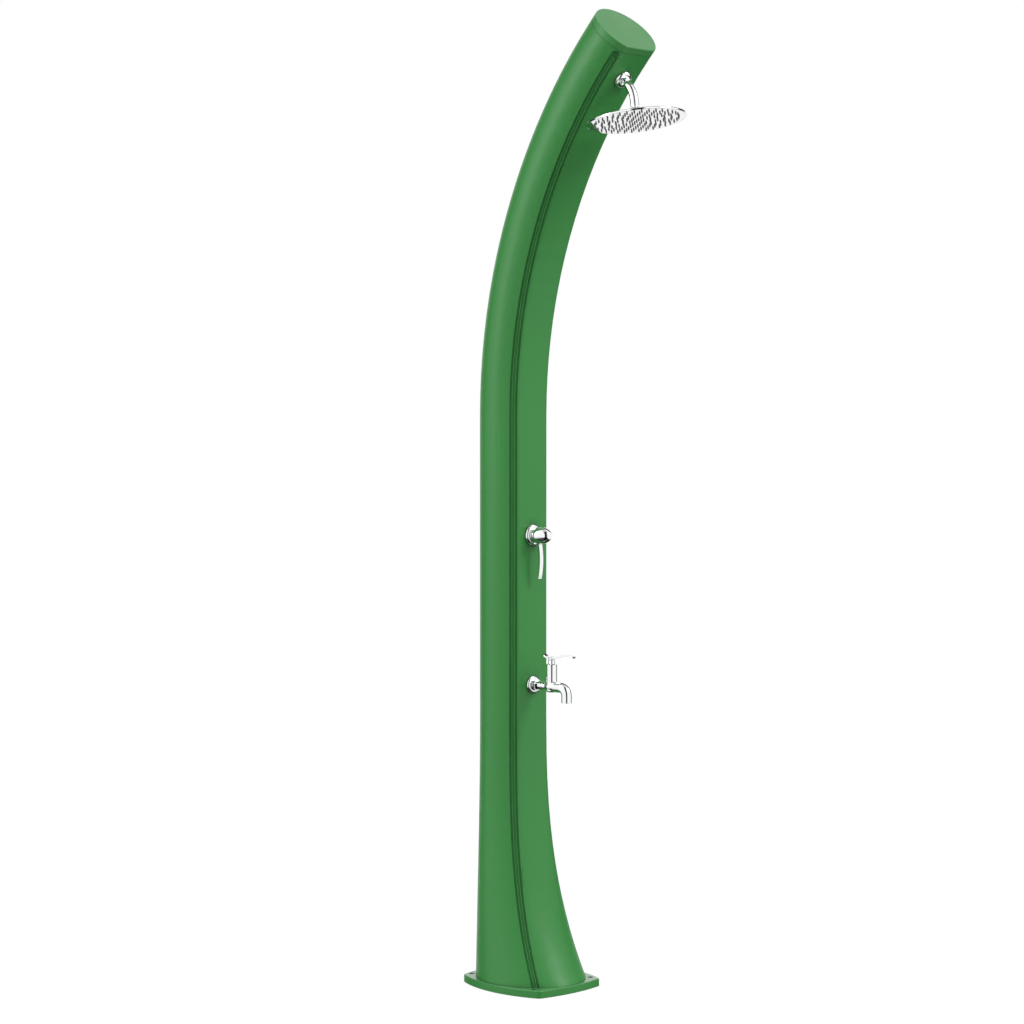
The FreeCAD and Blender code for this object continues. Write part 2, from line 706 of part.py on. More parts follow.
def bulged_outline():
    front = size("plate_front_half")
    rear = size("plate_rear_half")
    deep = size("plate_half_depth")
    corners = [
        Vector(-front, -deep, 0),
        Vector(front, -deep, 0),
        Vector(rear, deep, 0),
        Vector(-rear, deep, 0),
    ]
    bulges = [size(f"plate_{side}_bulge") for side in ("front", "side", "rear", "side")]
    edges = []
    for i, bulge in enumerate(bulges):
        start, end = corners[i], corners[(i + 1) % 4]
        run = end - start
        outward = Vector(run.y, -run.x, 0).normalize()
        edges.append(Part.Arc(start, (start + end) * 0.5 + outward * bulge, end).toShape())
    return Part.Wire(edges)


def make_plate():
    plate = Part.Face(bulged_outline()).extrude(Vector(0, 0, size("plate_thickness")))
    uprights = [e for e in plate.Edges if abs(e.Vertexes[0].Z - e.Vertexes[-1].Z) > 1]
    plate = plate.makeFillet(size("plate_corner_radius"), uprights)
    upper = [e for e in plate.Edges if all(abs(v.Z - size("plate_thickness")) < 1e-6 for v in e.Vertexes)]
    plate = plate.makeFillet(size("plate_edge_round"), upper)
    tall = size("plate_thickness") + 2
    anchors = (("anchor_front_half", "anchor_front_place"), ("anchor_rear_half", "anchor_rear_place"))
    for half, place in anchors:
        for side in (-1, 1):
            spot = Vector(side * size(half), size(place), -1)
            plate = plate.cut(Part.makeCylinder(size("anchor_hole_radius"), tall, spot))
    for spot in base_screw_spots():
        spot.z = -1
        plate = plate.cut(Part.makeCylinder(size("base_screw_radius + pass_gap"), tall, spot))
        head_room = size("base_head_radius + pass_gap")
        plate = plate.cut(Part.makeCylinder(head_room, size("base_counterbore") + 1, spot))
    return plate


part("base_plate", fixed_shape("base_plate", make_plate()))

base_screws = []
for number, spot in enumerate(base_screw_spots(), start=1):
    screw = turned(
        f"base_screw_{number}",
        [
            ("0", "base_counterbore - base_head_height"),
            ("base_head_radius", "base_counterbore - base_head_height"),
            ("base_head_radius", "base_counterbore"),
            ("base_screw_radius", "base_counterbore"),
            ("base_screw_radius", "base_counterbore + base_screw_length"),
            ("0", "base_counterbore + base_screw_length"),
        ],
        Placement(spot, Rotation()),
    )
    base_screws.append(screw)
base_screw_group = doc.addObject("Part::Compound", "base_screws")
base_screw_group.Links = base_screws
part("base_screws", base_screw_group)

# ---------------------------------------------------------------- inlet and drain

part(
    "inlet_union",
    turned(
        "inlet_union",
        [
            ("inlet_bore", "-pad_wall - wall_nut_thickness - socket_depth"),
            ("nipple_radius", "-pad_wall - wall_nut_thickness - socket_depth"),
            ("nipple_radius", "gasket"),
            ("inlet_flange_radius", "gasket"),
            ("inlet_flange_radius", "gasket + inlet_flange_thickness"),
            ("inlet_thread_radius", "gasket + inlet_flange_thickness"),
            ("inlet_thread_radius", "gasket + inlet_flange_thickness + inlet_thread_length"),
            ("inlet_bore", "gasket + inlet_flange_thickness + inlet_thread_length"),
        ],
        inlet_place,
    ),
)
part(
    "inlet_seal",
    ring("inlet_seal", "nipple_radius + slip", "inlet_flange_radius", "0", "gasket", inlet_place),
)


def hex_nut(node, bore, flat_radius, low, high, place):
    """Hexagon nut: a padded hexagon with its bore cut through."""
    corner = f"({flat_radius}) / cos(30deg)"
    half = f"({flat_radius}) * tan(30deg)"
    points = [
        (corner, "0"),
        (half, flat_radius),
        (f"-{half}", flat_radius),
        (f"-{corner}", "0"),
        (f"-{half}", f"-({flat_radius})"),
        (half, f"-({flat_radius})"),
    ]
    length = f"({high}) - ({low})"
    hexagon = padded(node + "_hexagon", points, length, at(place, z=size(low)))
    hole = cylinder(node + "_bore", bore, length, at(place, z=size(low)))
    return cut(node, hexagon, hole)


part(
    "inlet_nut",
    hex_nut(
        "inlet_nut",
        "nipple_radius + slip",
        "nipple_flange - 1",
        "-pad_wall - wall_nut_thickness",
        "-pad_wall",
        inlet_place,
    ),
)


def fitting(node, horns, bores):
    """Cast fitting: horns and bores are (place, radius, low, high) along the local Z axis."""
    solids = []
    for kind, rows in (("horn", horns), ("bore", bores)):
        pieces = []
        for number, (place, radius, low, high) in enumerate(rows, start=1):
            length = f"({high}) - ({low})"
            pieces.append(cylinder(f"{node}_{kind}_{number}", radius, length, at(place, z=size(low))))
        solids.append(fused(f"{node}_{kind}s", pieces) if len(pieces) > 1 else pieces[0])
    return cut(node, solids[0], solids[1])


tee_centre = Placement(Vector(0, size("feed_place"), size("inlet_height")), Rotation())
tee_back = Placement(tee_centre.Base, Rotation(X_AXIS, -90))
tee_front = Placement(tee_centre.Base, Rotation(X_AXIS, 90))
inlet_shank_end = "pad_plane - pad_wall - wall_nut_thickness - socket_depth - feed_place"
inlet_horn_end = "pad_plane - pad_wall - wall_nut_thickness - feed_place - 0.2"
part(
    "inlet_tee",
    fitting(
        "inlet_tee",
        [
            (tee_back, "socket_radius + 2.5", "-socket_radius - 1.5", inlet_horn_end),
            (tee_centre, "socket_radius", "0", "tee_reach"),
            (tee_front, "socket_radius - branch_step", "0", "tee_reach"),
        ],
        [
            (tee_back, "nipple_radius + slip", inlet_shank_end, inlet_horn_end),
            (tee_back, "pipe_bore", "0", inlet_shank_end),
            (tee_centre, "branch_bore", "0", "tee_reach"),
            (tee_centre, "pipe_radius + slip", "tee_reach - socket_depth", "tee_reach"),
            (tee_front, "pipe_bore", "0", "tee_reach"),
            (tee_front, "pipe_radius + slip", "tee_reach - socket_depth", "tee_reach"),
        ],
    ),
)
part(
    "tank_feed_valve",
    turned(
        "tank_feed_valve",
        [
            ("pipe_bore - 1", "tee_reach - socket_depth"),
            ("pipe_radius", "tee_reach - socket_depth"),
            ("pipe_radius", "tee_reach"),
            ("tank_valve_radius", "tee_reach"),
            ("tank_valve_radius", "tee_reach + tank_valve_length"),
            ("pipe_bore - 1", "tee_reach + tank_valve_length"),
        ],
        tee_front,
    ),
)
part(
    "drain_plug",
    fused(
        "drain_plug",
        [
            padded(
                "drain_head",
                [
                    ("drain_head_radius", "0"),
                    ("drain_head_radius * cos(60deg)", "drain_head_radius * sin(60deg)"),
                    ("-drain_head_radius * cos(60deg)", "drain_head_radius * sin(60deg)"),
                    ("-drain_head_radius", "0"),
                    ("-drain_head_radius * cos(60deg)", "-drain_head_radius * sin(60deg)"),
                    ("drain_head_radius * cos(60deg)", "-drain_head_radius * sin(60deg)"),
                ],
                "drain_head_height",
                at(drain_place, z=size("drain_seal_thickness")),
            ),
            cylinder(
                "drain_thread",
                "drain_radius",
                "pad_wall + drain_seal_thickness",
                at(drain_place, z=-size("pad_wall")),
            ),
        ],
    ),
)
part(
    "drain_seal",
    ring(
        "drain_seal",
        "drain_radius + slip",
        "drain_head_radius - 1.8",
        "0",
        "drain_seal_thickness",
        drain_place,
    ),
)

# ---------------------------------------------------------------- pipes


def pipe_path(points, radii):
    """Straight runs in the YZ plane, joined by tangent arcs of the given radii."""
    corners = [Vector(0, y, z) for y, z in points]
    edges = []
    start = corners[0]
    for index, radius in enumerate(radii, start=1):
        corner = corners[index]
        arriving = (corner - corners[index - 1]).normalize()
        leaving = (corners[index + 1] - corner).normalize()
        turn = math.acos(max(-1.0, min(1.0, arriving.dot(leaving))))
        cut_back = radius * math.tan(turn / 2)
        first = corner - arriving * cut_back
        last = corner + leaving * cut_back
        bisector = (leaving - arriving).normalize()
        middle = corner + bisector * (radius / math.cos(turn / 2) - radius)
        edges.append(Part.LineSegment(start, first).toShape())
        edges.append(Part.Arc(first, middle, last).toShape())
        start = last
    edges.append(Part.LineSegment(start, corners[-1]).toShape())
    return edges


def tube(edges, outer, inner):
    """Round tube along a path of edges."""
    solids = []
    first = edges[0].firstVertex().Point
    way = edges[0].tangentAt(edges[0].FirstParameter)
    for radius in (outer, inner):
        circle = Part.Wire([Part.Circle(first, way, radius).toShape()])
        solids.append(Part.Wire(edges).makePipeShell([circle], True, False))
    return solids[0].cut(solids[1])


pipe_outer = size("pipe_radius")
pipe_inner = size("pipe_bore")
feed_y = size("feed_place")
tap_z = size("tap_height")
mixer_z = size("mixer_height")
tail_mouth = size("mixer_tail - socket_depth")
socket_floor = size("tee_reach - socket_depth")
cold_y = spot_plane + size("cold_depth")
hot_y = spot_plane + size("hot_depth")
riser_y = spot_plane + size("outlet_depth")

part(
    "cold_pipe_lower",
    ring(
        "cold_pipe_lower",
        "pipe_bore",
        "pipe_radius",
        "tee_reach - socket_depth",
        "tap_height - inlet_height - tee_reach + socket_depth",
        tee_centre,
    ),
)
tap_tee_centre = Placement(Vector(0, feed_y, tap_z), Rotation())
tap_tee_front = Placement(tap_tee_centre.Base, Rotation(X_AXIS, 90))
part(
    "tap_tee",
    fitting(
        "tap_tee",
        [
            (tap_tee_centre, "socket_radius", "-tee_reach", "tee_reach"),
            (tap_tee_front, "socket_radius - branch_step", "0", "tee_reach"),
        ],
        [
            (tap_tee_centre, "pipe_bore", "-tee_reach", "tee_reach"),
            (tap_tee_centre, "pipe_radius + slip", "-tee_reach", "-tee_reach + socket_depth"),
            (tap_tee_centre, "pipe_radius + slip", "tee_reach - socket_depth", "tee_reach"),
            (tap_tee_front, "branch_bore", "0", "tee_reach"),
            (tap_tee_front, "pipe_radius + slip", "tee_reach - socket_depth", "tee_reach"),
        ],
    ),
)
nipple_socket_floor = spot_plane + size("nipple_tail - socket_depth")
branch_start = feed_y - socket_floor
branch_line = Part.LineSegment(Vector(0, branch_start, tap_z), Vector(0, nipple_socket_floor, tap_z))
branch_edges = [branch_line.toShape()]
part("tap_branch_pipe", fixed_shape("tap_branch_pipe", tube(branch_edges, pipe_outer, pipe_inner)))

cold_end = mixer_z - tail_mouth
cold_points = [
    (feed_y, tap_z + socket_floor),
    (feed_y, tap_z + size("feed_bend_start") * (mixer_z - tap_z)),
    (cold_y, tap_z + size("feed_bend_end") * (mixer_z - tap_z)),
    (cold_y, cold_end),
]
cold_edges = pipe_path(cold_points, [size("feed_bend")] * 2)
part("cold_pipe_upper", fixed_shape("cold_pipe_upper", tube(cold_edges, pipe_outer, pipe_inner)))

bend_z = bend_centre.z
hot_radius = hot_y - bend_centre.y
hot_angle = math.radians(size("bend_angle - hot_end_short"))


def on_lean(radius, angle):
    return Vector(0, bend_centre.y + radius * math.cos(angle), bend_z + radius * math.sin(angle))


hot_edges = [
    Part.LineSegment(Vector(0, hot_y, mixer_z + tail_mouth), Vector(0, hot_y, bend_z)).toShape(),
    Part.Arc(*[on_lean(hot_radius, turn) for turn in (0, hot_angle / 2, hot_angle)]).toShape(),
]
part("hot_pipe", fixed_shape("hot_pipe", tube(hot_edges, pipe_outer, pipe_inner)))
strainer_place = Placement(on_lean(hot_radius, hot_angle), Rotation(X_AXIS, math.degrees(hot_angle)))
part(
    "hot_strainer",
    turned(
        "hot_strainer",
        [
            ("pipe_bore - 1.5", "0"),
            ("pipe_radius + 2", "0"),
            ("pipe_radius + 2", "pipe_radius * 2"),
            ("pipe_radius", "pipe_radius * 2 + 2"),
            ("pipe_bore - 1.5", "pipe_radius * 2 + 2"),
        ],
        strainer_place,
    ),
)

elbow_place = at(arm_place, z=-size("outlet_depth"))
elbow_centre = elbow_place.Base
elbow_down = elbow_place.Rotation.multVec(Vector(0, -1, 0))
half_turn = math.radians(size("arm_angle")) / 2
corner_run = (elbow_centre.y - riser_y) / elbow_down.y
riser_corner = elbow_centre + elbow_down * abs(corner_run)
elbow_mouth = elbow_centre + elbow_down * socket_floor
tangent_run = abs(corner_run) - socket_floor - size("elbow_run")
riser_points = [
    (riser_y, mixer_z + tail_mouth),
    (riser_y, riser_corner.z),
    (elbow_mouth.y, elbow_mouth.z),
]
riser_edges = pipe_path(riser_points, [tangent_run / math.tan(half_turn)])
part("riser_pipe", fixed_shape("riser_pipe", tube(riser_edges, pipe_outer, pipe_inner)))
elbow_port = Placement(elbow_centre, elbow_place.Rotation.multiply(DOWN))
ARM_TAIL = "outlet_depth - elbow_waterway"
ELBOW_MOUTH = "outlet_depth - boss_wall - gasket - nipple_flange_thickness - pass_gap"
part(
    "arm_elbow",
    fitting(
        "arm_elbow",
        [
            (elbow_place, "socket_radius + 2.5", "-socket_radius - 1.5", ELBOW_MOUTH),
            (elbow_port, "socket_radius", "0", "tee_reach"),
        ],
        [
            (elbow_place, "nipple_radius + slip", "elbow_waterway", ELBOW_MOUTH),
            (elbow_place, "pipe_bore", "0", "elbow_waterway"),
            (elbow_port, "branch_bore", "0", "tee_reach"),
            (elbow_port, "pipe_radius + slip", "tee_reach - socket_depth", "tee_reach"),
        ],
    ),
)

# ---------------------------------------------------------------- wall nipples, nuts, rosettes


def wall_set(node, place, tail, reach, socket):
    """Nipple through the wall, with its gasket behind and its nut in front."""
    flange_low = "-boss_wall - gasket - nipple_flange_thickness"
    outer_tail = "socket_radius" if socket else "nipple_radius"
    points = [("nipple_bore", "-socket_deep"), ("nipple_bore", reach), ("nipple_radius", reach)]
    points += [("nipple_radius", "-boss_wall - gasket"), ("nipple_flange", "-boss_wall - gasket")]
    points += [("nipple_flange", flange_low), (outer_tail, flange_low), (outer_tail, f"-({tail})")]
    if socket:
        points += [("pipe_radius + slip", f"-({tail})"), ("pipe_radius + slip", f"-({tail}) + socket_depth")]
        points[0] = ("nipple_bore", f"-({tail}) + socket_depth")
    else:
        points[0] = ("nipple_bore", f"-({tail})")
    part(node + "_nipple", turned(node + "_nipple", points, place))
    bore = "nipple_radius + slip"
    across = "wall_nut_radius * cos(30deg)"
    gasket = ring(node + "_gasket", bore, "nipple_flange", "-boss_wall - gasket", "-boss_wall", place)
    part(node + "_gasket", gasket)
    nut = hex_nut(node + "_wall_nut", bore, across, "0", "wall_nut_thickness", place)
    part(node + "_wall_nut", nut)


ROSETTE_STEPS = 6


def quarter_oval(crown, radius, low, high):
    """Outline of a quarter of an oval, from its rim up to its crown."""
    turns = [90 * step / ROSETTE_STEPS for step in range(ROSETTE_STEPS + 1)]
    wide = f"({radius}) - ({crown})"
    tall = f"({high}) - ({low})"
    return [
        (f"{crown} + ({wide}) * cos({turn:.2f}deg)", f"{low} + ({tall}) * sin({turn:.2f}deg)")
        for turn in turns
    ]


def rosette(node, place, radius, height, hole, crown):
    """Thin domed cover over a wall nut, with a low straight side and a flat crown."""
    inside = quarter_oval(crown, f"{radius} - rosette_wall", "rosette_side", f"{height} - rosette_wall")
    points = [
        (radius, "0"),
        *quarter_oval(crown, radius, "rosette_side", height),
        (hole, height),
        (hole, f"{height} - rosette_wall"),
        *reversed(inside),
        (f"{radius} - rosette_wall", "0"),
    ]
    part(node, turned(node, points, place))


wall_set("tap", tap_place, "nipple_tail", "tap_thread", True)
rosette(
    "tap_rosette", tap_place, "tap_rosette_radius", "tap_rosette_height",
    "tap_collar_radius + pass_gap", "tap_collar_radius + crown_margin",
)
wall_set("arm", arm_place, ARM_TAIL, "arm_start", False)
rosette(
    "arm_rosette", arm_place, "arm_rosette_radius", "arm_rosette_height",
    "arm_collar_radius + pass_gap", "arm_collar_radius + crown_margin",
)
rosette(
    "mixer_rosette", mixer_place, "mixer_rosette_radius", "mixer_rosette_height",
    "sleeve_radius + pass_gap", "sleeve_ball + pass_gap",
)
part(
    "mixer_gasket",
    ring(
        "mixer_gasket",
        "mixer_neck_radius + slip",
        "mixer_radius",
        "-boss_wall - gasket",
        "-boss_wall",
        mixer_place,
    ),
)
part(
    "mixer_wall_nut",
    ring(
        "mixer_wall_nut",
        "mixer_neck_radius + slip",
        "mixer_neck_radius + 2.5",
        "0",
        "wall_nut_thickness",
        mixer_place,
    ),
)

# ---------------------------------------------------------------- mixer

body_end = "-boss_wall - gasket - mixer_length"


def tail_place(depth, rotation):
    return Placement(Vector(0, spot_plane + size(depth), mixer_z), rotation)


outlet_tail = tail_place("outlet_depth", Rotation())
hot_tail = tail_place("hot_depth", Rotation())
cold_tail = tail_place("cold_depth", Rotation(X_AXIS, 180))


def channel(level, depth):
    """Waterway along the valve body, from below a tail to the cartridge."""
    return (at(mixer_place, y=size(level)), "channel_radius", f"-{depth}", "-cartridge_depth + 1")


part(
    "mixer_valve_body",
    fitting(
        "mixer_valve_body",
        [
            (mixer_place, "mixer_radius", body_end, "-boss_wall - gasket"),
            (mixer_place, "mixer_neck_radius", "-boss_wall - gasket - 1", "mixer_neck_reach"),
            (outlet_tail, "socket_radius - branch_step", "pipe_bore", "mixer_tail"),
            (hot_tail, "socket_radius - branch_step", "pipe_bore", "mixer_tail"),
            (cold_tail, "socket_radius - branch_step", "pipe_bore", "mixer_tail"),
        ],
        [
            (mixer_place, "cartridge_radius + slip", "-cartridge_depth", "mixer_neck_reach"),
            (outlet_tail, "pipe_radius + slip", "mixer_tail - socket_depth", "mixer_tail"),
            (hot_tail, "pipe_radius + slip", "mixer_tail - socket_depth", "mixer_tail"),
            (cold_tail, "pipe_radius + slip", "mixer_tail - socket_depth", "mixer_tail"),
            (outlet_tail, "tail_bore", "outlet_level", "mixer_tail"),
            (hot_tail, "tail_bore", "hot_level", "mixer_tail"),
            (cold_tail, "tail_bore", "cold_level", "mixer_tail"),
            channel("outlet_level", "outlet_depth"),
            channel("hot_level", "hot_depth"),
            channel("-cold_level", "cold_depth"),
        ],
    ),
)
part(
    "mixer_cartridge",
    turned(
        "mixer_cartridge",
        [
            ("0", "-cartridge_depth"),
            ("cartridge_radius", "-cartridge_depth"),
            ("cartridge_radius", "0"),
            ("carrier_radius + carrier_gap", "0"),
            ("carrier_radius + carrier_gap", "-carrier_depth - 2"),
            ("0", "-carrier_depth - 2"),
        ],
        mixer_place,
    ),
)

BALL_STEPS = 8


def ball_outline(radius, low, high):
    """Outline of a ball about the lift axis, between two distances from the wall."""
    first, last = [math.degrees(math.asin(size(f"({end} - lift_place) / {radius}"))) for end in (low, high)]
    turns = [first + (last - first) * step / BALL_STEPS for step in range(BALL_STEPS + 1)]
    return [
        (f"{radius} * cos({turn:.4f}deg)", f"lift_place + {radius} * sin({turn:.4f}deg)")
        for turn in turns
    ]


part(
    "mixer_sleeve",
    turned(
        "mixer_sleeve",
        [
            ("carrier_radius + carrier_gap", "0"),
            ("cartridge_radius", "0"),
            ("cartridge_radius", "mixer_neck_reach"),
            ("sleeve_radius", "mixer_neck_reach"),
            ("sleeve_radius", "mixer_rosette_height"),
            *ball_outline("sleeve_ball", "mixer_rosette_height", "sleeve_reach"),
            ("carrier_radius + carrier_gap", "sleeve_reach"),
        ],
        mixer_place,
    ),
)
lift_axis = at(mixer_place, z=size("lift_place"))
slot_width = "2 * stem_radius + 2 * carrier_gap"
carrier_rod = cylinder(
    "carrier_rod",
    "carrier_radius",
    "sleeve_reach - 1 + carrier_depth",
    at(mixer_place, z=-size("carrier_depth")),
)
carrier_slot = box(
    "carrier_slot",
    slot_width,
    "3 * carrier_radius",
    "sleeve_reach",
    at(mixer_place, x=-size(slot_width) / 2, y=-1.5 * size("carrier_radius"), z=size("stem_start") - 1.5),
)
pin_length = "2 * carrier_radius - 1"
carrier_pin_hole = cylinder(
    "carrier_pin_hole", "stem_pin_radius + slip", "3 * carrier_radius",
    at(lift_axis, x=-1.5 * size("carrier_radius"), rotation=ASIDE),
)
carrier_tools = fused("carrier_tools", [carrier_slot, carrier_pin_hole])
part("cartridge_carrier", cut("cartridge_carrier", carrier_rod, carrier_tools))
pin_start = at(lift_axis, x=-size(pin_length) / 2, rotation=ASIDE)
part("stem_pin", cylinder("stem_pin", "stem_pin_radius", pin_length, pin_start))
stem_rod = cylinder("stem_rod", "stem_radius", "stem_end - stem_start", at(mixer_place, z=size("stem_start")))
stem_side = at(lift_axis, x=-1.5 * size("stem_radius"), rotation=ASIDE)
stem_hole = cylinder("stem_hole", "stem_pin_radius + slip", "3 * stem_radius", stem_side)
part("cartridge_stem", cut("cartridge_stem", stem_rod, stem_hole))

# The dome is a quarter of an oval, cut off at its flat middle.
DOME_STEPS = 10
dome_sweep = math.degrees(math.acos(size("cap_flat / cap_radius")))
dome_turns = [dome_sweep * step / DOME_STEPS for step in range(1, DOME_STEPS + 1)]
dome_outline = [
    (
        f"cap_radius * cos({turn:.4f}deg)",
        f"cap_dome_start + (cap_end - cap_dome_start) * sin({turn:.4f}deg) / sin({dome_sweep:.4f}deg)",
    )
    for turn in dome_turns
]
cavity_outline = ball_outline("cap_cavity", "cap_start", "cap_floor")
mixer_cap_turned = turned(
    "mixer_cap_turned",
    [
        (cavity_outline[0][0], "cap_start"),
        ("cap_radius - 1.1", "cap_start"),
        ("cap_radius", "cap_start + 3"),
        ("cap_radius", "cap_dome_start"),
        *dome_outline,
        ("0", "cap_end"),
        ("0", "stem_end"),
        ("stem_radius + slip", "stem_end"),
        ("stem_radius + slip", "cap_floor"),
        *reversed(cavity_outline[1:]),
    ],
    mixer_place,
)
lever_root = at(mixer_place, z=size("lever_place"))
lever_down = Placement(lever_root.Base, Rotation(X_AXIS, 180))
lever_spot = cylinder("lever_spot", "lever_width * 0.62", "10", at(lever_down, z=size("lever_seat")))
lever_hollow = "sqrt(cap_cavity ^ 2 - (lever_place - lever_stud_radius - lift_place) ^ 2)"
lever_stud_hole = cylinder(
    "lever_stud_hole",
    "lever_stud_radius + slip",
    f"cap_radius - {lever_hollow} + 4",
    at(lever_down, z=size(lever_hollow) - 2),
)
grub_axis = at(mixer_place, z=size("grub_place"), rotation=ASIDE)
grub_hole = cylinder("grub_hole", "grub_radius + slip", "cap_radius", at(grub_axis, z=size("stem_radius")))
cap_tools = fused("mixer_cap_tools", [lever_spot, lever_stud_hole, grub_hole])
part("mixer_cap", cut("mixer_cap", mixer_cap_turned, cap_tools))
grub_start = at(grub_axis, z=size("stem_radius"))
part("handle_screw", cylinder("handle_screw", "grub_radius", "grub_length", grub_start))
plug_start = at(grub_axis, z=size("cap_radius - plug_depth"))
part("handle_plug", cylinder("handle_plug", "grub_radius", "plug_length", plug_start))


def make_mixer_lever():
    """Bowed flat lever in the YZ plane: two arcs, a rounded foot and a stud at the root."""
    root = size("lever_place")
    half = size("lever_thickness") / 2
    bow = size("lever_bow")
    top = -size("lever_seat")
    foot = top - size("lever_length")
    middle = (top + foot) / 2
    out = spot_plane - root

    def point(ahead, height):
        return Vector(0, out - ahead, mixer_z + height)

    end_front = point(half * 0.6, foot + half)
    end_back = point(-half * 0.8, foot + half)
    end = Part.Arc(end_front, point(-half * 0.1, foot), end_back).toShape()
    front = Part.Arc(point(half, top), point(half + bow, middle), end_front).toShape()
    back = Part.Arc(end_back, point(-half + bow, middle), point(-half, top)).toShape()
    seat = Part.LineSegment(point(-half, top), point(half, top)).toShape()
    width = size("lever_width")
    blade = Part.Face(Part.Wire([front, end, back, seat])).extrude(Vector(width, 0, 0))
    blade.translate(Vector(-width / 2, 0, 0))
    stud_length = size(f"lever_seat - {lever_hollow} - 0.3")
    stud = Part.makeCylinder(size("lever_stud_radius"), stud_length + 2, point(0, top - 2))
    return blade.fuse(stud).removeSplitter()


part("mixer_lever", fixed_shape("mixer_lever", make_mixer_lever()))

# ---------------------------------------------------------------- foot tap

column_place = Placement(Vector(0, spot_plane - size("tap_column_place"), tap_z), Rotation())


def make_tap_body():
    wall_y = spot_plane
    column_y = wall_y - size("tap_column_place")
    outlet_y = wall_y - size("spout_reach")
    outlet_z = tap_z - size("spout_drop")
    spout_z = tap_z - 1
    path = pipe_path(
        [(column_y, spout_z), (outlet_y, spout_z), (outlet_y, outlet_z)],
        [size("spout_bend")],
    )
    first = path[0].firstVertex().Point
    way = Vector(0, -1, 0)
    spout, spout_bore = [
        Part.Wire(path).makePipeShell([Part.Wire([Part.Circle(first, way, radius).toShape()])], True, False)
        for radius in (size("spout_radius"), size("spout_bore"))
    ]
    nut = size("wall_nut_thickness")
    collar = placed_cylinder(tap_place, size("tap_collar_radius"), nut, size("tap_collar_end"))
    horn_start = size("tap_collar_end - 1")
    horn = placed_cylinder(tap_place, size("tap_horn_radius"), horn_start, size("tap_column_place"))
    low = -size("tap_column_bottom")
    step = low + size("tap_foot_round") + 0.2
    column = placed_cylinder(column_place, size("tap_column_radius"), step, size("tap_column_top"))
    dome = placed_cylinder(column_place, size("tap_column_radius"), low, step)
    rim = [e for e in dome.Edges if all(abs(v.Z - tap_z - low) < 1e-6 for v in e.Vertexes)]
    dome = dome.makeFillet(size("tap_foot_round"), rim)
    core = horn.fuse([column, dome, spout]).removeSplitter()
    bend_start = outlet_y + size("spout_bend")
    creases = [
        e
        for e in core.Edges
        if e.Curve.TypeId == "Part::GeomBSplineCurve" and e.BoundBox.YMin > bend_start - 1
    ]
    middle = Vector(0, column_y - 1, tap_z)
    nose = middle + Vector(0, size("tap_belly_length"), 0)
    tail = middle - Vector(0, size("tap_belly_length"), 0)
    oval = Part.Ellipse(nose, middle + Vector(0, 0, size("tap_belly_radius")), middle)
    half = Part.Arc(oval, 0, math.pi).toShape()
    belly = Part.Face(Part.Wire([half, Part.makeLine(tail, nose)])).revolve(middle, Y_AXIS, 360)
    body = core.makeFillet(size("tap_cast_round"), creases).fuse([collar, belly])
    chamber = placed_cylinder(column_place, size("tap_chamber_radius"), -5, size("tap_column_top") + 1)
    thread = placed_cylinder(tap_place, size("nipple_radius + slip"), 0, size("tap_thread"))
    waterway = placed_cylinder(tap_place, size("nipple_bore"), 5, size("tap_column_place"))
    seat = Part.makeCylinder(
        size("aerator_radius + slip"), size("aerator_depth") + 1, Vector(0, outlet_y, outlet_z - 1)
    )
    for tool in (spout_bore, chamber, thread, waterway, seat):
        body = body.cut(tool)
    return body.removeSplitter()


part("tap_body", fixed_shape("tap_body", make_tap_body()))
aerator_place = Placement(
    Vector(0, spot_plane - size("spout_reach"), tap_z - size("spout_drop")), Rotation()
)
part(
    "tap_aerator",
    turned(
        "tap_aerator",
        [
            ("aerator_bore", "0"),
            ("aerator_radius", "0"),
            ("aerator_radius", "aerator_depth"),
            ("aerator_bore - 2.5", "aerator_depth"),
            ("aerator_bore - 2.5", "aerator_depth - 1"),
            ("aerator_bore", "aerator_depth - 1"),
        ],
        aerator_place,
    ),
)
part(
    "tap_headwork",
    turned(
        "tap_headwork",
        [
            ("0", "8"),
            ("tap_chamber_radius - slip", "8"),
            ("tap_chamber_radius - slip", "tap_column_top"),
            ("headwork_neck", "tap_column_top"),
            ("headwork_neck", "tap_column_top + bonnet_height - 1"),
            ("spindle_radius + slip", "tap_column_top + bonnet_height - 1"),
            ("spindle_radius + slip", "spindle_foot"),
            ("0", "spindle_foot"),
        ],
        column_place,
    ),
)
part(
    "tap_bonnet",
    turned(
        "tap_bonnet",
        [
            ("headwork_neck + slip", "tap_column_top"),
            ("tap_column_radius", "tap_column_top"),
            ("tap_column_radius", "tap_column_top + 1.5"),
            ("bonnet_radius", "tap_column_top + 3"),
            ("bonnet_radius", "tap_column_top + bonnet_height"),
            ("headwork_neck + slip", "tap_column_top + bonnet_height"),
        ],
        column_place,
    ),
)
hub_low = "tap_column_top + bonnet_height + handle_gap"
hub_high = f"{hub_low} + handle_hub_height"
spindle_end = f"{hub_high} - handle_thickness"
screw_seat = f"{hub_high} - handle_thickness / 2"
spindle_place = at(column_place, z=size("spindle_foot"))
part(
    "tap_spindle",
    cylinder("tap_spindle", "spindle_radius", f"{spindle_end} - spindle_foot", spindle_place),
)

# Middle line of the tap lever, ahead of the column and above the hub's foot.
LEVER_LINE = [(-23.0, 10.8), (-13.0, 4.8), (0.0, 3.0), (17.0, 4.9), (36.0, 10.2), (56.0, 11.4), (69.0, 8.4)]


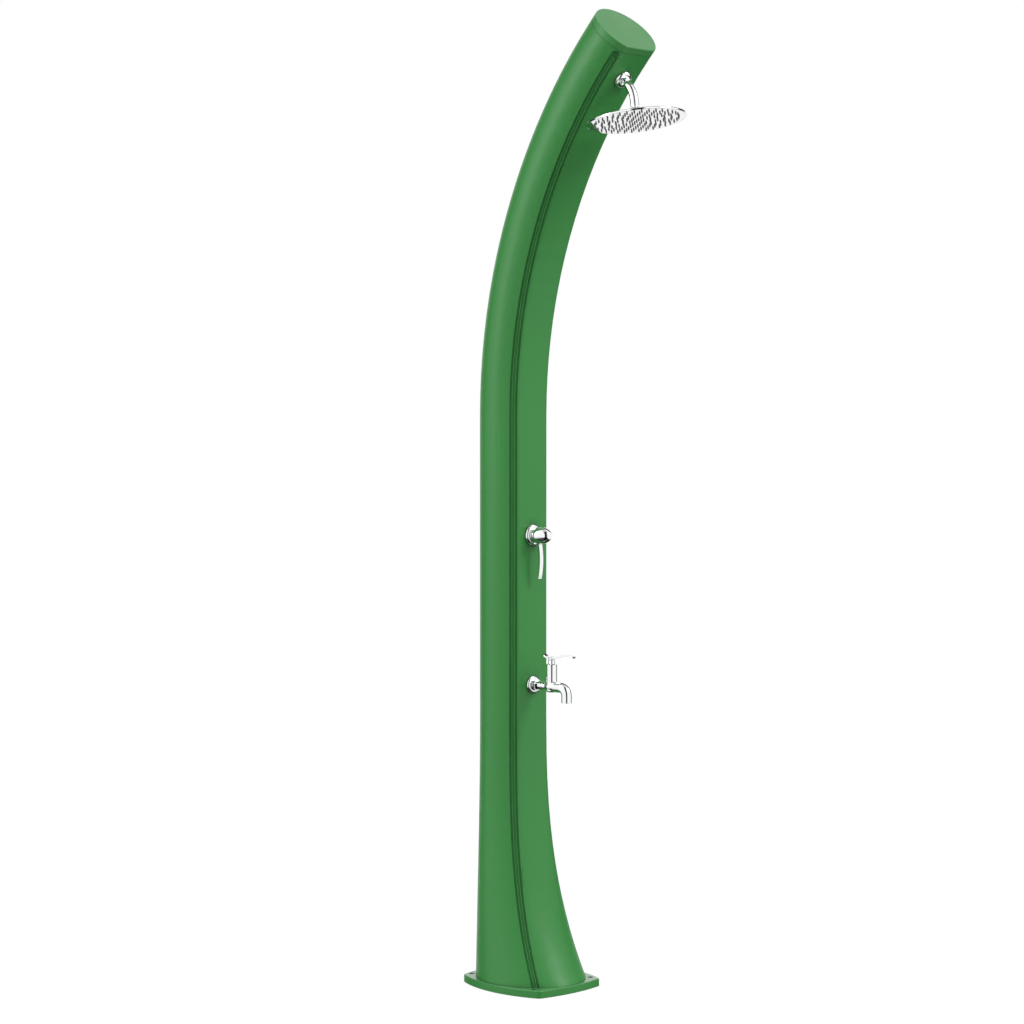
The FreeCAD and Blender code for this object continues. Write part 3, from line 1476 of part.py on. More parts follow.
def make_tap_lever():
    """Wavy flat lever with a round hub under it."""
    half = size("handle_thickness") / 2
    foot = size(hub_low)
    line = [Vector(0, -ahead, foot + up) for ahead, up in LEVER_LINE]
    middle = Part.BSplineCurve()
    middle.interpolate([column_place.Base + p for p in line])
    sides = []
    for shift in (half, -half):
        side = Part.BSplineCurve()
        points = []
        for index in range(len(line)):
            parameter = middle.parameter(column_place.Base + line[index])
            slope = middle.tangent(parameter)[0]
            points.append(middle.value(parameter) + Vector(0, -slope.z, slope.y) * shift)
        side.interpolate(points)
        sides.append(side.toShape())
    ends = [
        Part.LineSegment(sides[0].Vertexes[i].Point, sides[1].Vertexes[i].Point).toShape() for i in (0, -1)
    ]
    outline = Part.Wire(Part.__sortEdges__([sides[0], ends[0], sides[1], ends[1]]))
    width = size("handle_width")
    blade = Part.Face(outline).extrude(Vector(width, 0, 0))
    blade.translate(Vector(-width / 2, 0, 0))
    thick = size("handle_thickness")
    tips = [e for e in blade.Edges if abs(e.Length - thick) < 0.01 * thick]
    blade = blade.makeFillet(width * 0.42, tips)
    hub = placed_cylinder(column_place, size("handle_hub_radius"), foot, size(hub_high) - 1.5)
    body = blade.fuse(hub)
    bore = placed_cylinder(column_place, size("spindle_radius + slip"), foot - 1, size(spindle_end))
    top = size(hub_high)
    screw = placed_cylinder(column_place, size("lever_screw_radius + slip"), foot, top + CLEAR)
    seat_radius = size("lever_screw_head + carrier_gap")
    seat = placed_cylinder(column_place, seat_radius, size(screw_seat), top + THROUGH)
    return body.cut(bore).cut(screw).cut(seat).removeSplitter()


part("tap_lever", fixed_shape("tap_lever", make_tap_lever()))
part(
    "tap_lever_screw",
    turned(
        "tap_lever_screw",
        [
            ("0", spindle_end),
            ("lever_screw_radius", spindle_end),
            ("lever_screw_radius", screw_seat),
            ("lever_screw_head", screw_seat),
            ("lever_screw_head", f"{hub_high} - 0.8"),
            ("lever_screw_head - 1.2", hub_high),
            ("0", hub_high),
        ],
        column_place,
    ),
)

# ---------------------------------------------------------------- arm

arm_out = arm_place.Rotation.multVec(Z_AXIS)
head_rotation = Rotation(X_AXIS, -size("head_tilt"))
head_up = head_rotation.multVec(Z_AXIS)
arm_corner = arm_place.Base + arm_out * size("arm_reach")
head_base = arm_corner - head_up * size("arm_drop")
head_place = Placement(head_base, head_rotation)
ball_place = at(head_place, z=size("ball_height"))
arm_first = arm_place.Base + arm_out * size("arm_start")
arm_last = ball_place.Base + head_up * size("ball_shoulder")
arm_edges = pipe_path(
    [(arm_first.y, arm_first.z), (arm_corner.y, arm_corner.z), (arm_last.y, arm_last.z)],
    [size("arm_bend")],
)
part("shower_arm", fixed_shape("shower_arm", tube(arm_edges, size("arm_radius"), size("arm_bore"))))
part(
    "arm_collar",
    turned(
        "arm_collar",
        [
            ("nipple_radius + slip", "wall_nut_thickness"),
            ("arm_collar_radius", "wall_nut_thickness"),
            ("arm_collar_radius", "arm_collar_end - 3"),
            ("arm_collar_radius - 2", "arm_collar_end"),
            ("arm_radius + slip", "arm_collar_end"),
            ("arm_radius + slip", "arm_start"),
            ("nipple_radius + slip", "arm_start"),
        ],
        arm_place,
    ),
)
ball_solid = sphere("ball_solid", "ball_radius", ball_place)
ball_neck = cylinder("ball_neck_rod", "ball_neck", "ball_shoulder", ball_place)
ball_tail = cylinder("ball_tail", "arm_bore - slip", "ball_tail", at(ball_place, z=size("ball_shoulder")))
ball_way = cylinder(
    "ball_way",
    "ball_bore",
    "2 * (ball_shoulder + ball_tail + 1)",
    at(ball_place, z=-size("ball_shoulder + ball_tail + 1")),
)
part("arm_ball", cut("arm_ball", fused("ball_blank", [ball_solid, ball_neck, ball_tail]), ball_way))

# ---------------------------------------------------------------- rain head

cup_outer = "ball_radius + ball_gap + cup_wall"
socket_inner = f"{cup_outer} + ball_gap"
cup_blank = sphere("cup_blank", cup_outer, ball_place, -52, 24)
cup_hollow = sphere("cup_hollow", "ball_radius + ball_gap", ball_place)
part("ball_cup", cut("ball_cup", cup_blank, cup_hollow))

head_blank = turned(
    "head_blank",
    [
        ("hub_bore", "head_rim + head_metal"),
        ("hub_radius + hub_inset", "head_rim + head_metal"),
        ("hub_radius + hub_inset", "head_dome - head_metal"),
        ("mat_radius + 0.2", "-head_rim + face_thickness + mat_thickness"),
        ("head_radius - rim_wall", "-head_rim + face_thickness + mat_thickness"),
        ("head_radius - rim_wall", "-head_rim"),
        ("head_radius", "-head_rim"),
        ("head_radius", "head_rim - 1.5"),
        ("head_radius - 1.5", "head_rim"),
        ("hub_radius + rim_wall", "head_dome"),
        ("hub_radius", "head_dome"),
        ("hub_radius", "ball_height"),
        ("hub_bore", "ball_height"),
    ],
    head_place,
)
head_socket = sphere("head_socket", socket_inner, ball_place)
part("head_top", cut("head_top", head_blank, head_socket))

nut_blank = turned(
    "nut_blank",
    [
        ("hub_radius + slip", "-nut_low"),
        ("nut_radius", "-nut_low"),
        ("nut_radius", "3"),
        ("nut_radius - 4", "nut_high"),
        ("nut_radius - 5.3", "nut_high"),
        ("nut_radius - 5.6", "nut_lip"),
        ("hub_bore", "nut_lip"),
        ("hub_bore", "slip"),
        ("hub_radius + slip", "slip"),
    ],
    ball_place,
)
nut_socket = sphere("nut_socket", socket_inner, ball_place)
part("head_nut", cut("head_nut", nut_blank, nut_socket))

part(
    "head_gasket",
    ring(
        "head_gasket",
        "mat_radius + 0.3",
        "head_radius - rim_wall - pass_gap",
        "-head_rim + face_thickness",
        "-head_rim + face_thickness + mat_thickness",
        head_place,
    ),
)


def nozzle_spots():
    spots = [Vector(0, 0, 0)]
    for ring_number in range(1, int(size("nozzle_rings")) + 1):
        count = 6 * ring_number
        radius = ring_number * size("nozzle_pitch")
        for number in range(count):
            angle = 2 * math.pi * number / count
            spots.append(Vector(radius * math.cos(angle), radius * math.sin(angle), 0))
    return spots


def make_face():
    low = -size("head_rim")
    thick = size("face_thickness")
    plate = Part.makeCylinder(size("head_radius - rim_wall - slip"), thick, Vector(0, 0, low))
    holes = [
        Part.makeCylinder(size("nozzle_radius + slip"), thick + 2, spot + Vector(0, 0, low - 1))
        for spot in nozzle_spots()
    ]
    return plate.cut(Part.makeCompound(holes))


def make_mat():
    base = -size("head_rim") + size("face_thickness")
    reach = size("face_thickness + nozzle_reach")
    sheet_solid = Part.makeCylinder(size("mat_radius"), size("mat_thickness"), Vector(0, 0, base))
    nozzles = []
    bores = []
    for spot in nozzle_spots():
        down = Vector(0, 0, -1)
        root = spot + Vector(0, 0, base)
        stalk = Part.makeCylinder(size("nozzle_radius"), size("face_thickness"), root, down)
        tip_root = root + down * size("face_thickness")
        tip = Part.makeCone(size("nozzle_radius"), size("nozzle_tip"), size("nozzle_reach"), tip_root, down)
        nozzles.append(stalk.fuse(tip))
        bores.append(Part.makeCylinder(size("nozzle_bore"), reach + 4, root + Vector(0, 0, 2), down))
    return sheet_solid.fuse(nozzles).cut(Part.makeCompound(bores)).removeSplitter()


part("head_face", fixed_shape("head_face", make_face(), head_place))
part("nozzle_mat", fixed_shape("nozzle_mat", make_mat(), head_place))

# ---------------------------------------------------------------- checks and files

doc.recompute()
for obj in doc.Objects:
    if "Invalid" in obj.State or "Error" in obj.State:
        raise RuntimeError(f"{obj.Label} failed: {obj.State}")
os.makedirs("parts", exist_ok=True)
for node, obj in PARTS:
    if obj.Shape.isNull() or not obj.Shape.isValid():
        raise RuntimeError(f"{node} has no valid shape")
    obj.Shape.exportStep(f"parts/{node}.step")
    print(f"{node}: {len(obj.Shape.Solids)} solid, {obj.Shape.Volume / 1000:.2f} cm3")
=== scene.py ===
"""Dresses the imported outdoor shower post: moulded green plastic, chrome fittings, stage and camera."""

import json
import math

import bmesh
import bpy
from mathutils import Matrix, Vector
from mathutils.bvhtree import BVHTree

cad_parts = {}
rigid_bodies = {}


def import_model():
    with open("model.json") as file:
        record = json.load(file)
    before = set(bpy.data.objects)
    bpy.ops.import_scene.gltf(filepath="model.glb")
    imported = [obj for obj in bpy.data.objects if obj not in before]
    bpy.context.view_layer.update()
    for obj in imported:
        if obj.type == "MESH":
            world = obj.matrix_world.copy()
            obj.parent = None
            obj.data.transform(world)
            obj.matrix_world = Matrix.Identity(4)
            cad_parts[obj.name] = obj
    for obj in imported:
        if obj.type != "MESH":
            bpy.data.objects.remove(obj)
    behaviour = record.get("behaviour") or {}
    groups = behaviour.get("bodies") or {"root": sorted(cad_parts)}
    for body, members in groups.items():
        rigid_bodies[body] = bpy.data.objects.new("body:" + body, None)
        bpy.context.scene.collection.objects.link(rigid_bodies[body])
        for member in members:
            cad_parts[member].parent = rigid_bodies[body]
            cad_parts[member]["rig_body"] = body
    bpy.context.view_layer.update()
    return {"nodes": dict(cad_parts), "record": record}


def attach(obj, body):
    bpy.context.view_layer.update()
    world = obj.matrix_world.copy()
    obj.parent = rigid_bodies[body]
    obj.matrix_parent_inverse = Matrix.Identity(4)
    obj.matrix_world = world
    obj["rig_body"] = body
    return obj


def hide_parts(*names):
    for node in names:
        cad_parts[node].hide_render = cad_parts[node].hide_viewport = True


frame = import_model()

bl_info = {
    "name": "Outdoor Shower Post",
    "version": (1, 0, 0),
    "blender": (4, 5, 0),
    "location": "3D View > Sidebar > Shower Post",
    "description": "Surfaces and stage for an outdoor shower post with rain head, mixer and foot tap",
    "category": "Object",
}

MM = 0.001
NODES = frame["nodes"]
SLOTS = {row["node"]: row["material_slot"] for row in frame["record"]["subparts"]}

# node and the width in mm that its outer edges are rounded over
MOULDED = (("post_shell", 0.25), ("base_plate", 0.9), ("top_cap", 0.3))
ARM = (
    ("arm_rosette", 0.4), ("shower_arm", 0.3), ("arm_collar", 0.35), ("arm_ball", 0.2),
)
HEAD = (
    ("ball_cup", 0.2), ("head_nut", 0.35), ("head_top", 0.4), ("head_face", 0.25), ("nozzle_mat", 0.0),
)
MIXER = (
    ("mixer_rosette", 0.4), ("mixer_sleeve", 0.3), ("mixer_cap", 0.3), ("mixer_lever", 0.3),
)
TAP = (
    ("tap_rosette", 0.4), ("tap_body", 0.3), ("tap_bonnet", 0.3), ("tap_lever", 0.3),
    ("tap_lever_screw", 0.2), ("tap_aerator", 0.25),
)
FOOT = (("inlet_union", 0.3), ("drain_plug", 0.3))
SHOWN = (*MOULDED, *ARM, *HEAD, *MIXER, *TAP, *FOOT)

# pieces that stand against the moulding and deepen the painted shade in the seam round them
ROSETTES = ("arm_rosette", "mixer_rosette", "tap_rosette")

FLAT_ANGLE = math.radians(0.3)
SHARP_ANGLE = math.radians(30)
CREASE_ANGLE = math.radians(50)
JOIN_GAP = 0.001 * MM
SLIVER = 0.02 * MM

# how far a point of the moulding looks for what hides it, how far off itself, and in how many ways
RECESS_REACH = 30 * MM
RECESS_START = 0.3 * MM
RECESS_RAYS = 48

# heights above its foot that the post is cut across at, and the even step from there up
FOOT_LEVELS = (2.5 * MM, 6 * MM, 14 * MM)
LEVEL_STEP = 45 * MM


# ---------------------------------------------------------------- settings


class PostSettings(bpy.types.PropertyGroup):
    """Colours and surface of the moulded plastic"""

    green: bpy.props.FloatVectorProperty(
        name="Post colour", description="Colour of the moulded post and plate",
        subtype="COLOR", size=3, min=0, max=1, default=(0.032, 0.213, 0.042),
    )
    cap_green: bpy.props.FloatVectorProperty(
        name="Cap colour", description="Colour of the moulded top cap",
        subtype="COLOR", size=3, min=0, max=1, default=(0.04, 0.215, 0.05),
    )
    roughness: bpy.props.FloatProperty(
        name="Post roughness", description="Mean roughness of the moulded plastic",
        subtype="FACTOR", min=0, max=1, default=0.38,
    )
    grain: bpy.props.FloatProperty(
        name="Grain size", description="Size of the moulded grain",
        subtype="DISTANCE", unit="LENGTH", min=0.0002, default=0.0012,
    )


class FittingSettings(bpy.types.PropertyGroup):
    """Colours and surface of the metal fittings and the nozzles"""

    chrome: bpy.props.FloatVectorProperty(
        name="Chrome colour", description="Tint of the polished chrome",
        subtype="COLOR", size=3, min=0, max=1, default=(0.93, 0.935, 0.94),
    )
    polish: bpy.props.FloatProperty(
        name="Chrome roughness", description="Roughness of the polished chrome",
        subtype="FACTOR", min=0, max=1, default=0.05,
    )
    silicone: bpy.props.FloatVectorProperty(
        name="Nozzle colour", description="Colour of the soft nozzles in the head",
        subtype="COLOR", size=3, min=0, max=1, default=(0.2, 0.2, 0.215),
    )


class StageSettings(bpy.types.PropertyGroup):
    """Floor and light that the post is shown in"""

    floor_half: bpy.props.FloatProperty(
        name="Floor half width", description="Half width of the pale floor",
        subtype="DISTANCE", unit="LENGTH", min=1, default=30,
    )
    light_above: bpy.props.FloatProperty(
        name="Light from above", description="Strength of the even light straight overhead",
        min=0, default=1.25,
    )
    light_below: bpy.props.FloatProperty(
        name="Light from below", description="Strength of the even light straight underneath",
        min=0, default=0.65,
    )
    front_lamp: bpy.props.FloatProperty(
        name="Front lamp", description="Power of the large soft lamp above the front",
        subtype="POWER", unit="POWER", min=0, default=215,
    )
    side_lamp: bpy.props.FloatProperty(
        name="Side lamp", description="Power of the large soft lamp on the left",
        subtype="POWER", unit="POWER", min=0, default=120,
    )


# ---------------------------------------------------------------- shader helpers

# places of the colour sockets among all the sockets of a Mix node
MIX_FIRST = 6
MIX_SECOND = 7
MIX_RESULT = 2


def add_node(tree, kind, values=(), **settings):
    """New node with those values on its inputs and those settings of its own."""
    node = tree.nodes.new(kind)
    for key, value in settings.items():
        setattr(node, key, value)
    for socket, value in dict(values).items():
        node.inputs[socket].default_value = value
    return node


def link(tree, source, target):
    tree.links.new(source, target)


def calculate(tree, operation, *parts, clamp=False):
    """Math node over the given outputs and plain numbers; gives its output."""
    node = add_node(tree, "ShaderNodeMath", operation=operation, use_clamp=clamp)
    for place, part in enumerate(parts):
        if isinstance(part, bpy.types.NodeSocket):
            link(tree, part, node.inputs[place])
        else:
            node.inputs[place].default_value = part
    return node.outputs[0]


def scale_mask(tree, mask, amount):
    """Mask times an amount, kept between 0 and 1."""
    return calculate(tree, "MULTIPLY", mask, amount, clamp=True)


def spread(tree, value, low=0.0, high=1.0, start=0.3, end=0.7):
    """Maps a value that runs from start to end onto low to high."""
    node = add_node(tree, "ShaderNodeMapRange", {
        "From Min": start, "From Max": end, "To Min": low, "To Max": high,
    })
    link(tree, value, node.inputs["Value"])
    return node.outputs["Result"]


def blend_colours(tree, share, first, second):
    """Mixes two colours, each a colour or an output, by share."""
    node = add_node(tree, "ShaderNodeMix", data_type="RGBA")
    link(tree, share, node.inputs[0])
    for place, colour in ((MIX_FIRST, first), (MIX_SECOND, second)):
        if isinstance(colour, bpy.types.NodeSocket):
            link(tree, colour, node.inputs[place])
        else:
            node.inputs[place].default_value = (*colour, 1)
    return node.outputs[MIX_RESULT]


def blend_shaders(tree, share, first, second):
    """Mixes the outputs of two shaders by share."""
    node = add_node(tree, "ShaderNodeMixShader")
    for place, source in enumerate((share, first, second)):
        link(tree, source, node.inputs[place])
    return node.outputs[0]


def tinted(colour, factor):
    return tuple(min(1.0, part * factor) for part in colour)


def upward_share(tree, direction):
    """How far a direction points up: 1 straight up, 0 level, -1 straight down."""
    parts = add_node(tree, "ShaderNodeSeparateXYZ")
    link(tree, direction, parts.inputs[0])
    return parts.outputs["Z"]


def texture_over_piece(tree, kind, values):
    """Texture node that is laid over the piece's own coordinates."""
    place = add_node(tree, "ShaderNodeTexCoord")
    texture = add_node(tree, kind, values)
    link(tree, place.outputs["Object"], texture.inputs["Vector"])
    return texture


# ---------------------------------------------------------------- shared effects


def shared_group(name, inputs, outputs, build):
    """Shader group with that name, built the first time it is asked for."""
    if name in bpy.data.node_groups:
        return bpy.data.node_groups[name]
    group = bpy.data.node_groups.new(name, "ShaderNodeTree")
    for label, default in inputs:
        socket = group.interface.new_socket(label, in_out="INPUT", socket_type="NodeSocketFloat")
        socket.default_value = default
    for label in outputs:
        group.interface.new_socket(label, in_out="OUTPUT", socket_type="NodeSocketFloat")
    build(group, group.nodes.new("NodeGroupInput"), group.nodes.new("NodeGroupOutput"))
    return group


def build_variation(group, given, result):
    for output, scale, detail in (("Grain", "Grain Scale", 3.0), ("Cloud", "Cloud Scale", 4.0)):
        values = {"Detail": detail, "Roughness": 0.58}
        noise = texture_over_piece(group, "ShaderNodeTexNoise", values)
        link(group, given.outputs[scale], noise.inputs["Scale"])
        link(group, noise.outputs["Fac"], result.inputs[output])


def surface_variation():
    """Fine grain height and slow cloudy mask, both over object coordinates."""
    inputs = (("Grain Scale", 800.0), ("Cloud Scale", 6.0))
    return shared_group("surface_variation", inputs, ("Grain", "Cloud"), build_variation)


def build_wear(group, given, result):
    worn = add_node(group, "ShaderNodeAttribute", attribute_name="wear")
    values = {"Detail": 5.0, "Roughness": 0.6}
    patches = texture_over_piece(group, "ShaderNodeTexNoise", values)
    link(group, given.outputs["Patch Scale"], patches.inputs["Scale"])
    broken = spread(group, patches.outputs["Fac"], start=0.42, end=0.6)
    rubbed = calculate(group, "MULTIPLY", worn.outputs["Fac"], broken)
    link(group, scale_mask(group, rubbed, given.outputs["Amount"]), result.inputs["Mask"])


def edge_wear():
    """Mask of the rounded edges, broken into patches as handling rubs them."""
    return shared_group("edge_wear", (("Patch Scale", 40.0), ("Amount", 1.0)), ("Mask",), build_wear)


def build_recess(group, given, result):
    # painted shade: the blocked share of each point's outlook becomes a darkening mask
    painted_shade = add_node(group, "ShaderNodeAttribute", attribute_name="recess")
    shaded = spread(group, painted_shade.outputs["Fac"], start=0.1, end=0.95)
    link(group, scale_mask(group, shaded, given.outputs["Depth"]), result.inputs["Shade"])


def recess_shade():
    """Mask of painted shade in the grooves, seams and holes, from how much of each point's outlook is
    blocked.
    """
    return shared_group("recess_shade", (("Depth", 0.6),), ("Shade",), build_recess)


def build_top_highlight_and_coat(group, given, result):
    facing = add_node(group, "ShaderNodeNewGeometry")
    upward = spread(group, upward_share(group, facing.outputs["Normal"]), start=0.55, end=0.8)
    values = {"Scale": 14.0, "Detail": 4.0, "Roughness": 0.55}
    patches = texture_over_piece(group, "ShaderNodeTexNoise", values)
    uneven = spread(group, patches.outputs["Fac"], low=0.8, high=1.1)
    whole = calculate(group, "MULTIPLY", upward, uneven)
    link(group, scale_mask(group, whole, given.outputs["Amount"]), result.inputs["Mask"])


def top_highlight_and_coat():
    """Mask of the faces that look up, in patches: it sets the painted highlight on the tops and where
    the clear coat lies.
    """
    return shared_group("top_highlight_and_coat", (("Amount", 0.2),), ("Mask",), build_top_highlight_and_coat)


def build_spots(group, given, result):
    drops = texture_over_piece(group, "ShaderNodeTexVoronoi", {"Randomness": 1.0})
    link(group, given.outputs["Spot Scale"], drops.inputs["Scale"])
    rim_radius = 0.16
    beyond = calculate(group, "SUBTRACT", drops.outputs["Distance"], rim_radius)
    off_rim = calculate(group, "ABSOLUTE", beyond)
    rim = spread(group, off_rim, low=1.0, high=0.0, start=0.0, end=0.05)
    link(group, scale_mask(group, rim, given.outputs["Amount"]), result.inputs["Mask"])


def water_spots():
    """Mask of the thin rims that dried drops leave on a polished face."""
    return shared_group("water_spots", (("Spot Scale", 90.0), ("Amount", 0.5)), ("Mask",), build_spots)


# ---------------------------------------------------------------- finishes

# pale tint painted on the up-facing faces as a highlight
PAINTED_TOP_HIGHLIGHT = (0.78, 0.82, 0.78)


def place_group(tree, group, **values):
    """Places a shared effect with its own values, each under its socket's name with _ for a space."""
    node = add_node(tree, "ShaderNodeGroup", node_tree=group)
    for label, value in values.items():
        node.inputs[label.replace("_", " ")].default_value = value
    return node


def start_material(name, colour, **constants):
    """New material, its node tree and its shader, which is given those constants."""
    material = bpy.data.materials.new(name)
    material.use_nodes = True
    material.diffuse_color = (*colour, 1)
    shader = material.node_tree.nodes["Principled BSDF"]
    for socket, value in constants.items():
        shader.inputs[socket.replace("_", " ")].default_value = value
    return material, material.node_tree, shader


def cloudy_tone(tree, varied, colour, darkest, palest):
    """The colour, drifting slowly between a darker and a paler tone of itself."""
    dark = tinted(colour, darkest)
    pale = tinted(colour, palest)
    return blend_colours(tree, varied.outputs["Cloud"], dark, pale)


def add_grain(tree, shader, varied, strength, distance):
    """Raises the fine grain as relief on the surface."""
    relief = add_node(tree, "ShaderNodeBump", {"Strength": strength, "Distance": distance})
    link(tree, varied.outputs["Grain"], relief.inputs["Height"])
    link(tree, relief.outputs["Normal"], shader.inputs["Normal"])


def moulded_plastic(name, colour, roughness, grain, cloud=3.0, shade_depth=0.9, top_highlight=0.0, washed=0.0):
    """Moulded plastic: fine grain, painted shade in the recesses, pale worn edges, and tops with a
    painted highlight and a clear coat.
    """
    material, tree, shader = start_material(name, colour, Specular_IOR_Level=0.35, Coat_Roughness=0.12)
    varied = place_group(tree, surface_variation(), Grain_Scale=1 / grain, Cloud_Scale=cloud)
    worn = place_group(tree, edge_wear(), Patch_Scale=30.0, Amount=0.5)
    # painted shade: recesses, seams and holes are darkened toward a near-black tone of the colour
    painted_shade = place_group(tree, recess_shade(), Depth=shade_depth)
    # painted highlight: up-facing faces are turned paler, in patches
    painted_top_highlight = place_group(tree, top_highlight_and_coat(), Amount=top_highlight)
    glossed = place_group(tree, top_highlight_and_coat(), Amount=washed)
    rubbed_colour = tinted(colour, 1.5)
    painted_shade_colour = tinted(colour, 0.06)
    tone = cloudy_tone(tree, varied, colour, darkest=0.93, palest=1.07)
    rubbed = blend_colours(tree, worn.outputs["Mask"], tone, rubbed_colour)
    highlighted = blend_colours(tree, painted_top_highlight.outputs["Mask"], rubbed, PAINTED_TOP_HIGHLIGHT)
    shaded = blend_colours(tree, painted_shade.outputs["Shade"], highlighted, painted_shade_colour)
    link(tree, shaded, shader.inputs["Base Color"])
    slow = spread(tree, varied.outputs["Cloud"], low=roughness - 0.04, high=roughness + 0.05)
    fine = spread(tree, varied.outputs["Grain"], low=-0.03, high=0.03)
    link(tree, calculate(tree, "ADD", slow, fine), shader.inputs["Roughness"])
    link(tree, glossed.outputs["Mask"], shader.inputs["Coat Weight"])
    add_grain(tree, shader, varied, strength=0.22, distance=0.15 * MM)
    return material


def polished_metal(name, colour, roughness, edge_dulling=0.12, spot_dulling=0.1):
    """Plated or polished metal: near mirror, with dried drops, faint waves and duller edges."""
    material, tree, shader = start_material(name, colour, Metallic=1.0)
    varied = place_group(tree, surface_variation(), Grain_Scale=420.0, Cloud_Scale=24.0)
    worn = place_group(tree, edge_wear(), Patch_Scale=120.0, Amount=0.8)
    dried = place_group(tree, water_spots(), Spot_Scale=110.0, Amount=0.35)
    edge_colour = tinted(colour, 0.85)
    tone = cloudy_tone(tree, varied, colour, darkest=0.97, palest=1.02)
    edged = blend_colours(tree, worn.outputs["Mask"], tone, edge_colour)
    link(tree, edged, shader.inputs["Base Color"])
    even = spread(tree, varied.outputs["Cloud"], low=roughness * 0.6, high=roughness * 1.6)
    dulled = calculate(tree, "MULTIPLY_ADD", worn.outputs["Mask"], edge_dulling, even)
    spotted = calculate(tree, "MULTIPLY_ADD", dried.outputs["Mask"], spot_dulling, dulled, clamp=True)
    link(tree, spotted, shader.inputs["Roughness"])
    add_grain(tree, shader, varied, strength=0.02, distance=0.05 * MM)
    return material


def cast_metal(name, colour, roughness, grain, relief=0.25):
    """Cast or turned metal with a grainy, uneven tone."""
    material, tree, shader = start_material(name, colour, Metallic=1.0)
    varied = place_group(tree, surface_variation(), Grain_Scale=1 / grain, Cloud_Scale=26.0)
    worn = place_group(tree, edge_wear(), Patch_Scale=90.0, Amount=0.7)
    edge_colour = tinted(colour, 1.35)
    tone = cloudy_tone(tree, varied, colour, darkest=0.8, palest=1.12)
    edged = blend_colours(tree, worn.outputs["Mask"], tone, edge_colour)
    link(tree, edged, shader.inputs["Base Color"])
    uneven = spread(tree, varied.outputs["Cloud"], low=roughness + 0.1, high=roughness - 0.08)
    link(tree, uneven, shader.inputs["Roughness"])
    add_grain(tree, shader, varied, strength=relief, distance=0.2 * MM)
    return material


def soft_rubber(name, colour, roughness):
    """Dark rubber or silicone with a dusty bloom and painted shade in its recesses."""
    material, tree, shader = start_material(name, colour, Specular_IOR_Level=0.35)
    varied = place_group(tree, surface_variation(), Grain_Scale=1500.0, Cloud_Scale=60.0)
    # painted shade: recesses are darkened toward a dim tone of the rubber
    painted_shade = place_group(tree, recess_shade(), Depth=0.4)
    painted_shade_colour = tinted(colour, 0.3)
    tone = cloudy_tone(tree, varied, colour, darkest=0.8, palest=1.3)
    shaded = blend_colours(tree, painted_shade.outputs["Shade"], tone, painted_shade_colour)
    link(tree, shaded, shader.inputs["Base Color"])
    uneven = spread(tree, varied.outputs["Grain"], low=roughness - 0.08, high=roughness + 0.08)
    link(tree, uneven, shader.inputs["Roughness"])
    add_grain(tree, shader, varied, strength=0.3, distance=0.1 * MM)
    return material


def finishes():
    """Maker of the material of each of the record's slots."""
    post = bpy.context.scene.shower_post
    fitting = bpy.context.scene.shower_fittings
    return {
        "green_plastic": lambda: moulded_plastic(
            "moulded_green", post.green, post.roughness, post.grain, top_highlight=0.05, washed=0.8,
        ),
        "green_cap": lambda: moulded_plastic(
            "moulded_green_cap", post.cap_green, post.roughness, post.grain,
            cloud=5.0, shade_depth=0.45, top_highlight=0.16,
        ),
        "chrome": lambda: polished_metal("polished_chrome", fitting.chrome, fitting.polish),
        "brass": lambda: cast_metal(
            "cast_brass", (0.62, 0.43, 0.16), roughness=0.34, grain=1.1 * MM,
        ),
        "stainless": lambda: cast_metal(
            "turned_steel", (0.6, 0.6, 0.59), roughness=0.26, grain=1.4 * MM, relief=0.12,
        ),
        "seal_rubber": lambda: soft_rubber("seal_rubber", (0.025, 0.025, 0.026), roughness=0.6),
        "nozzle_rubber": lambda: soft_rubber("nozzle_silicone", fitting.silicone, roughness=0.5),
        "pipe_plastic": lambda: moulded_plastic(
            "pipe_plastic", (0.55, 0.56, 0.57), roughness=0.4, grain=1.6 * MM, cloud=12.0,
        ),
        "grey_plastic": lambda: moulded_plastic(
            "grey_plastic", (0.12, 0.125, 0.13), roughness=0.45, grain=1.1 * MM, cloud=18.0,
        ),
    }


# the material of each slot that has been asked for
MADE = {}


def finish_of(node):
    """Material of a CAD node's slot, one for all the pieces of that slot."""
    slot = SLOTS[node]
    if slot not in MADE:
        MADE[slot] = finishes()[slot]()
    return MADE[slot]


# ---------------------------------------------------------------- pieces


def joined(node):
    """Mesh of a CAD node with its loose triangles joined into whole faces."""
    shape = bmesh.new()
    shape.from_mesh(NODES[node].data)
    bmesh.ops.remove_doubles(shape, verts=shape.verts, dist=JOIN_GAP)
    return shape


def smooth_flats(shape):
    """Clears slivers, joins the faces that lie flat side by side and turns all faces outwards."""
    bmesh.ops.dissolve_degenerate(shape, edges=shape.edges, dist=SLIVER)
    bmesh.ops.dissolve_limit(
        shape, angle_limit=FLAT_ANGLE, verts=shape.verts, edges=shape.edges, delimit={"NORMAL"},
    )
    bmesh.ops.recalc_face_normals(shape, faces=shape.faces)


def round_edges(shape, width):
    """Rounds the outward edges and marks the rounded faces as worn."""
    sharp = [
        edge for edge in shape.edges
        if edge.is_manifold and edge.is_convex and edge.calc_face_angle() > SHARP_ANGLE
    ]
    made = bmesh.ops.bevel(
        shape, geom=sharp, offset=width, offset_type="OFFSET", segments=2, profile=0.5,
        affect="EDGES", clamp_overlap=False, material=-1,
    )
    worn = shape.loops.layers.float.new("wear")
    for face in made["faces"]:
        for corner in face.loops:
            corner[worn] = 1.0


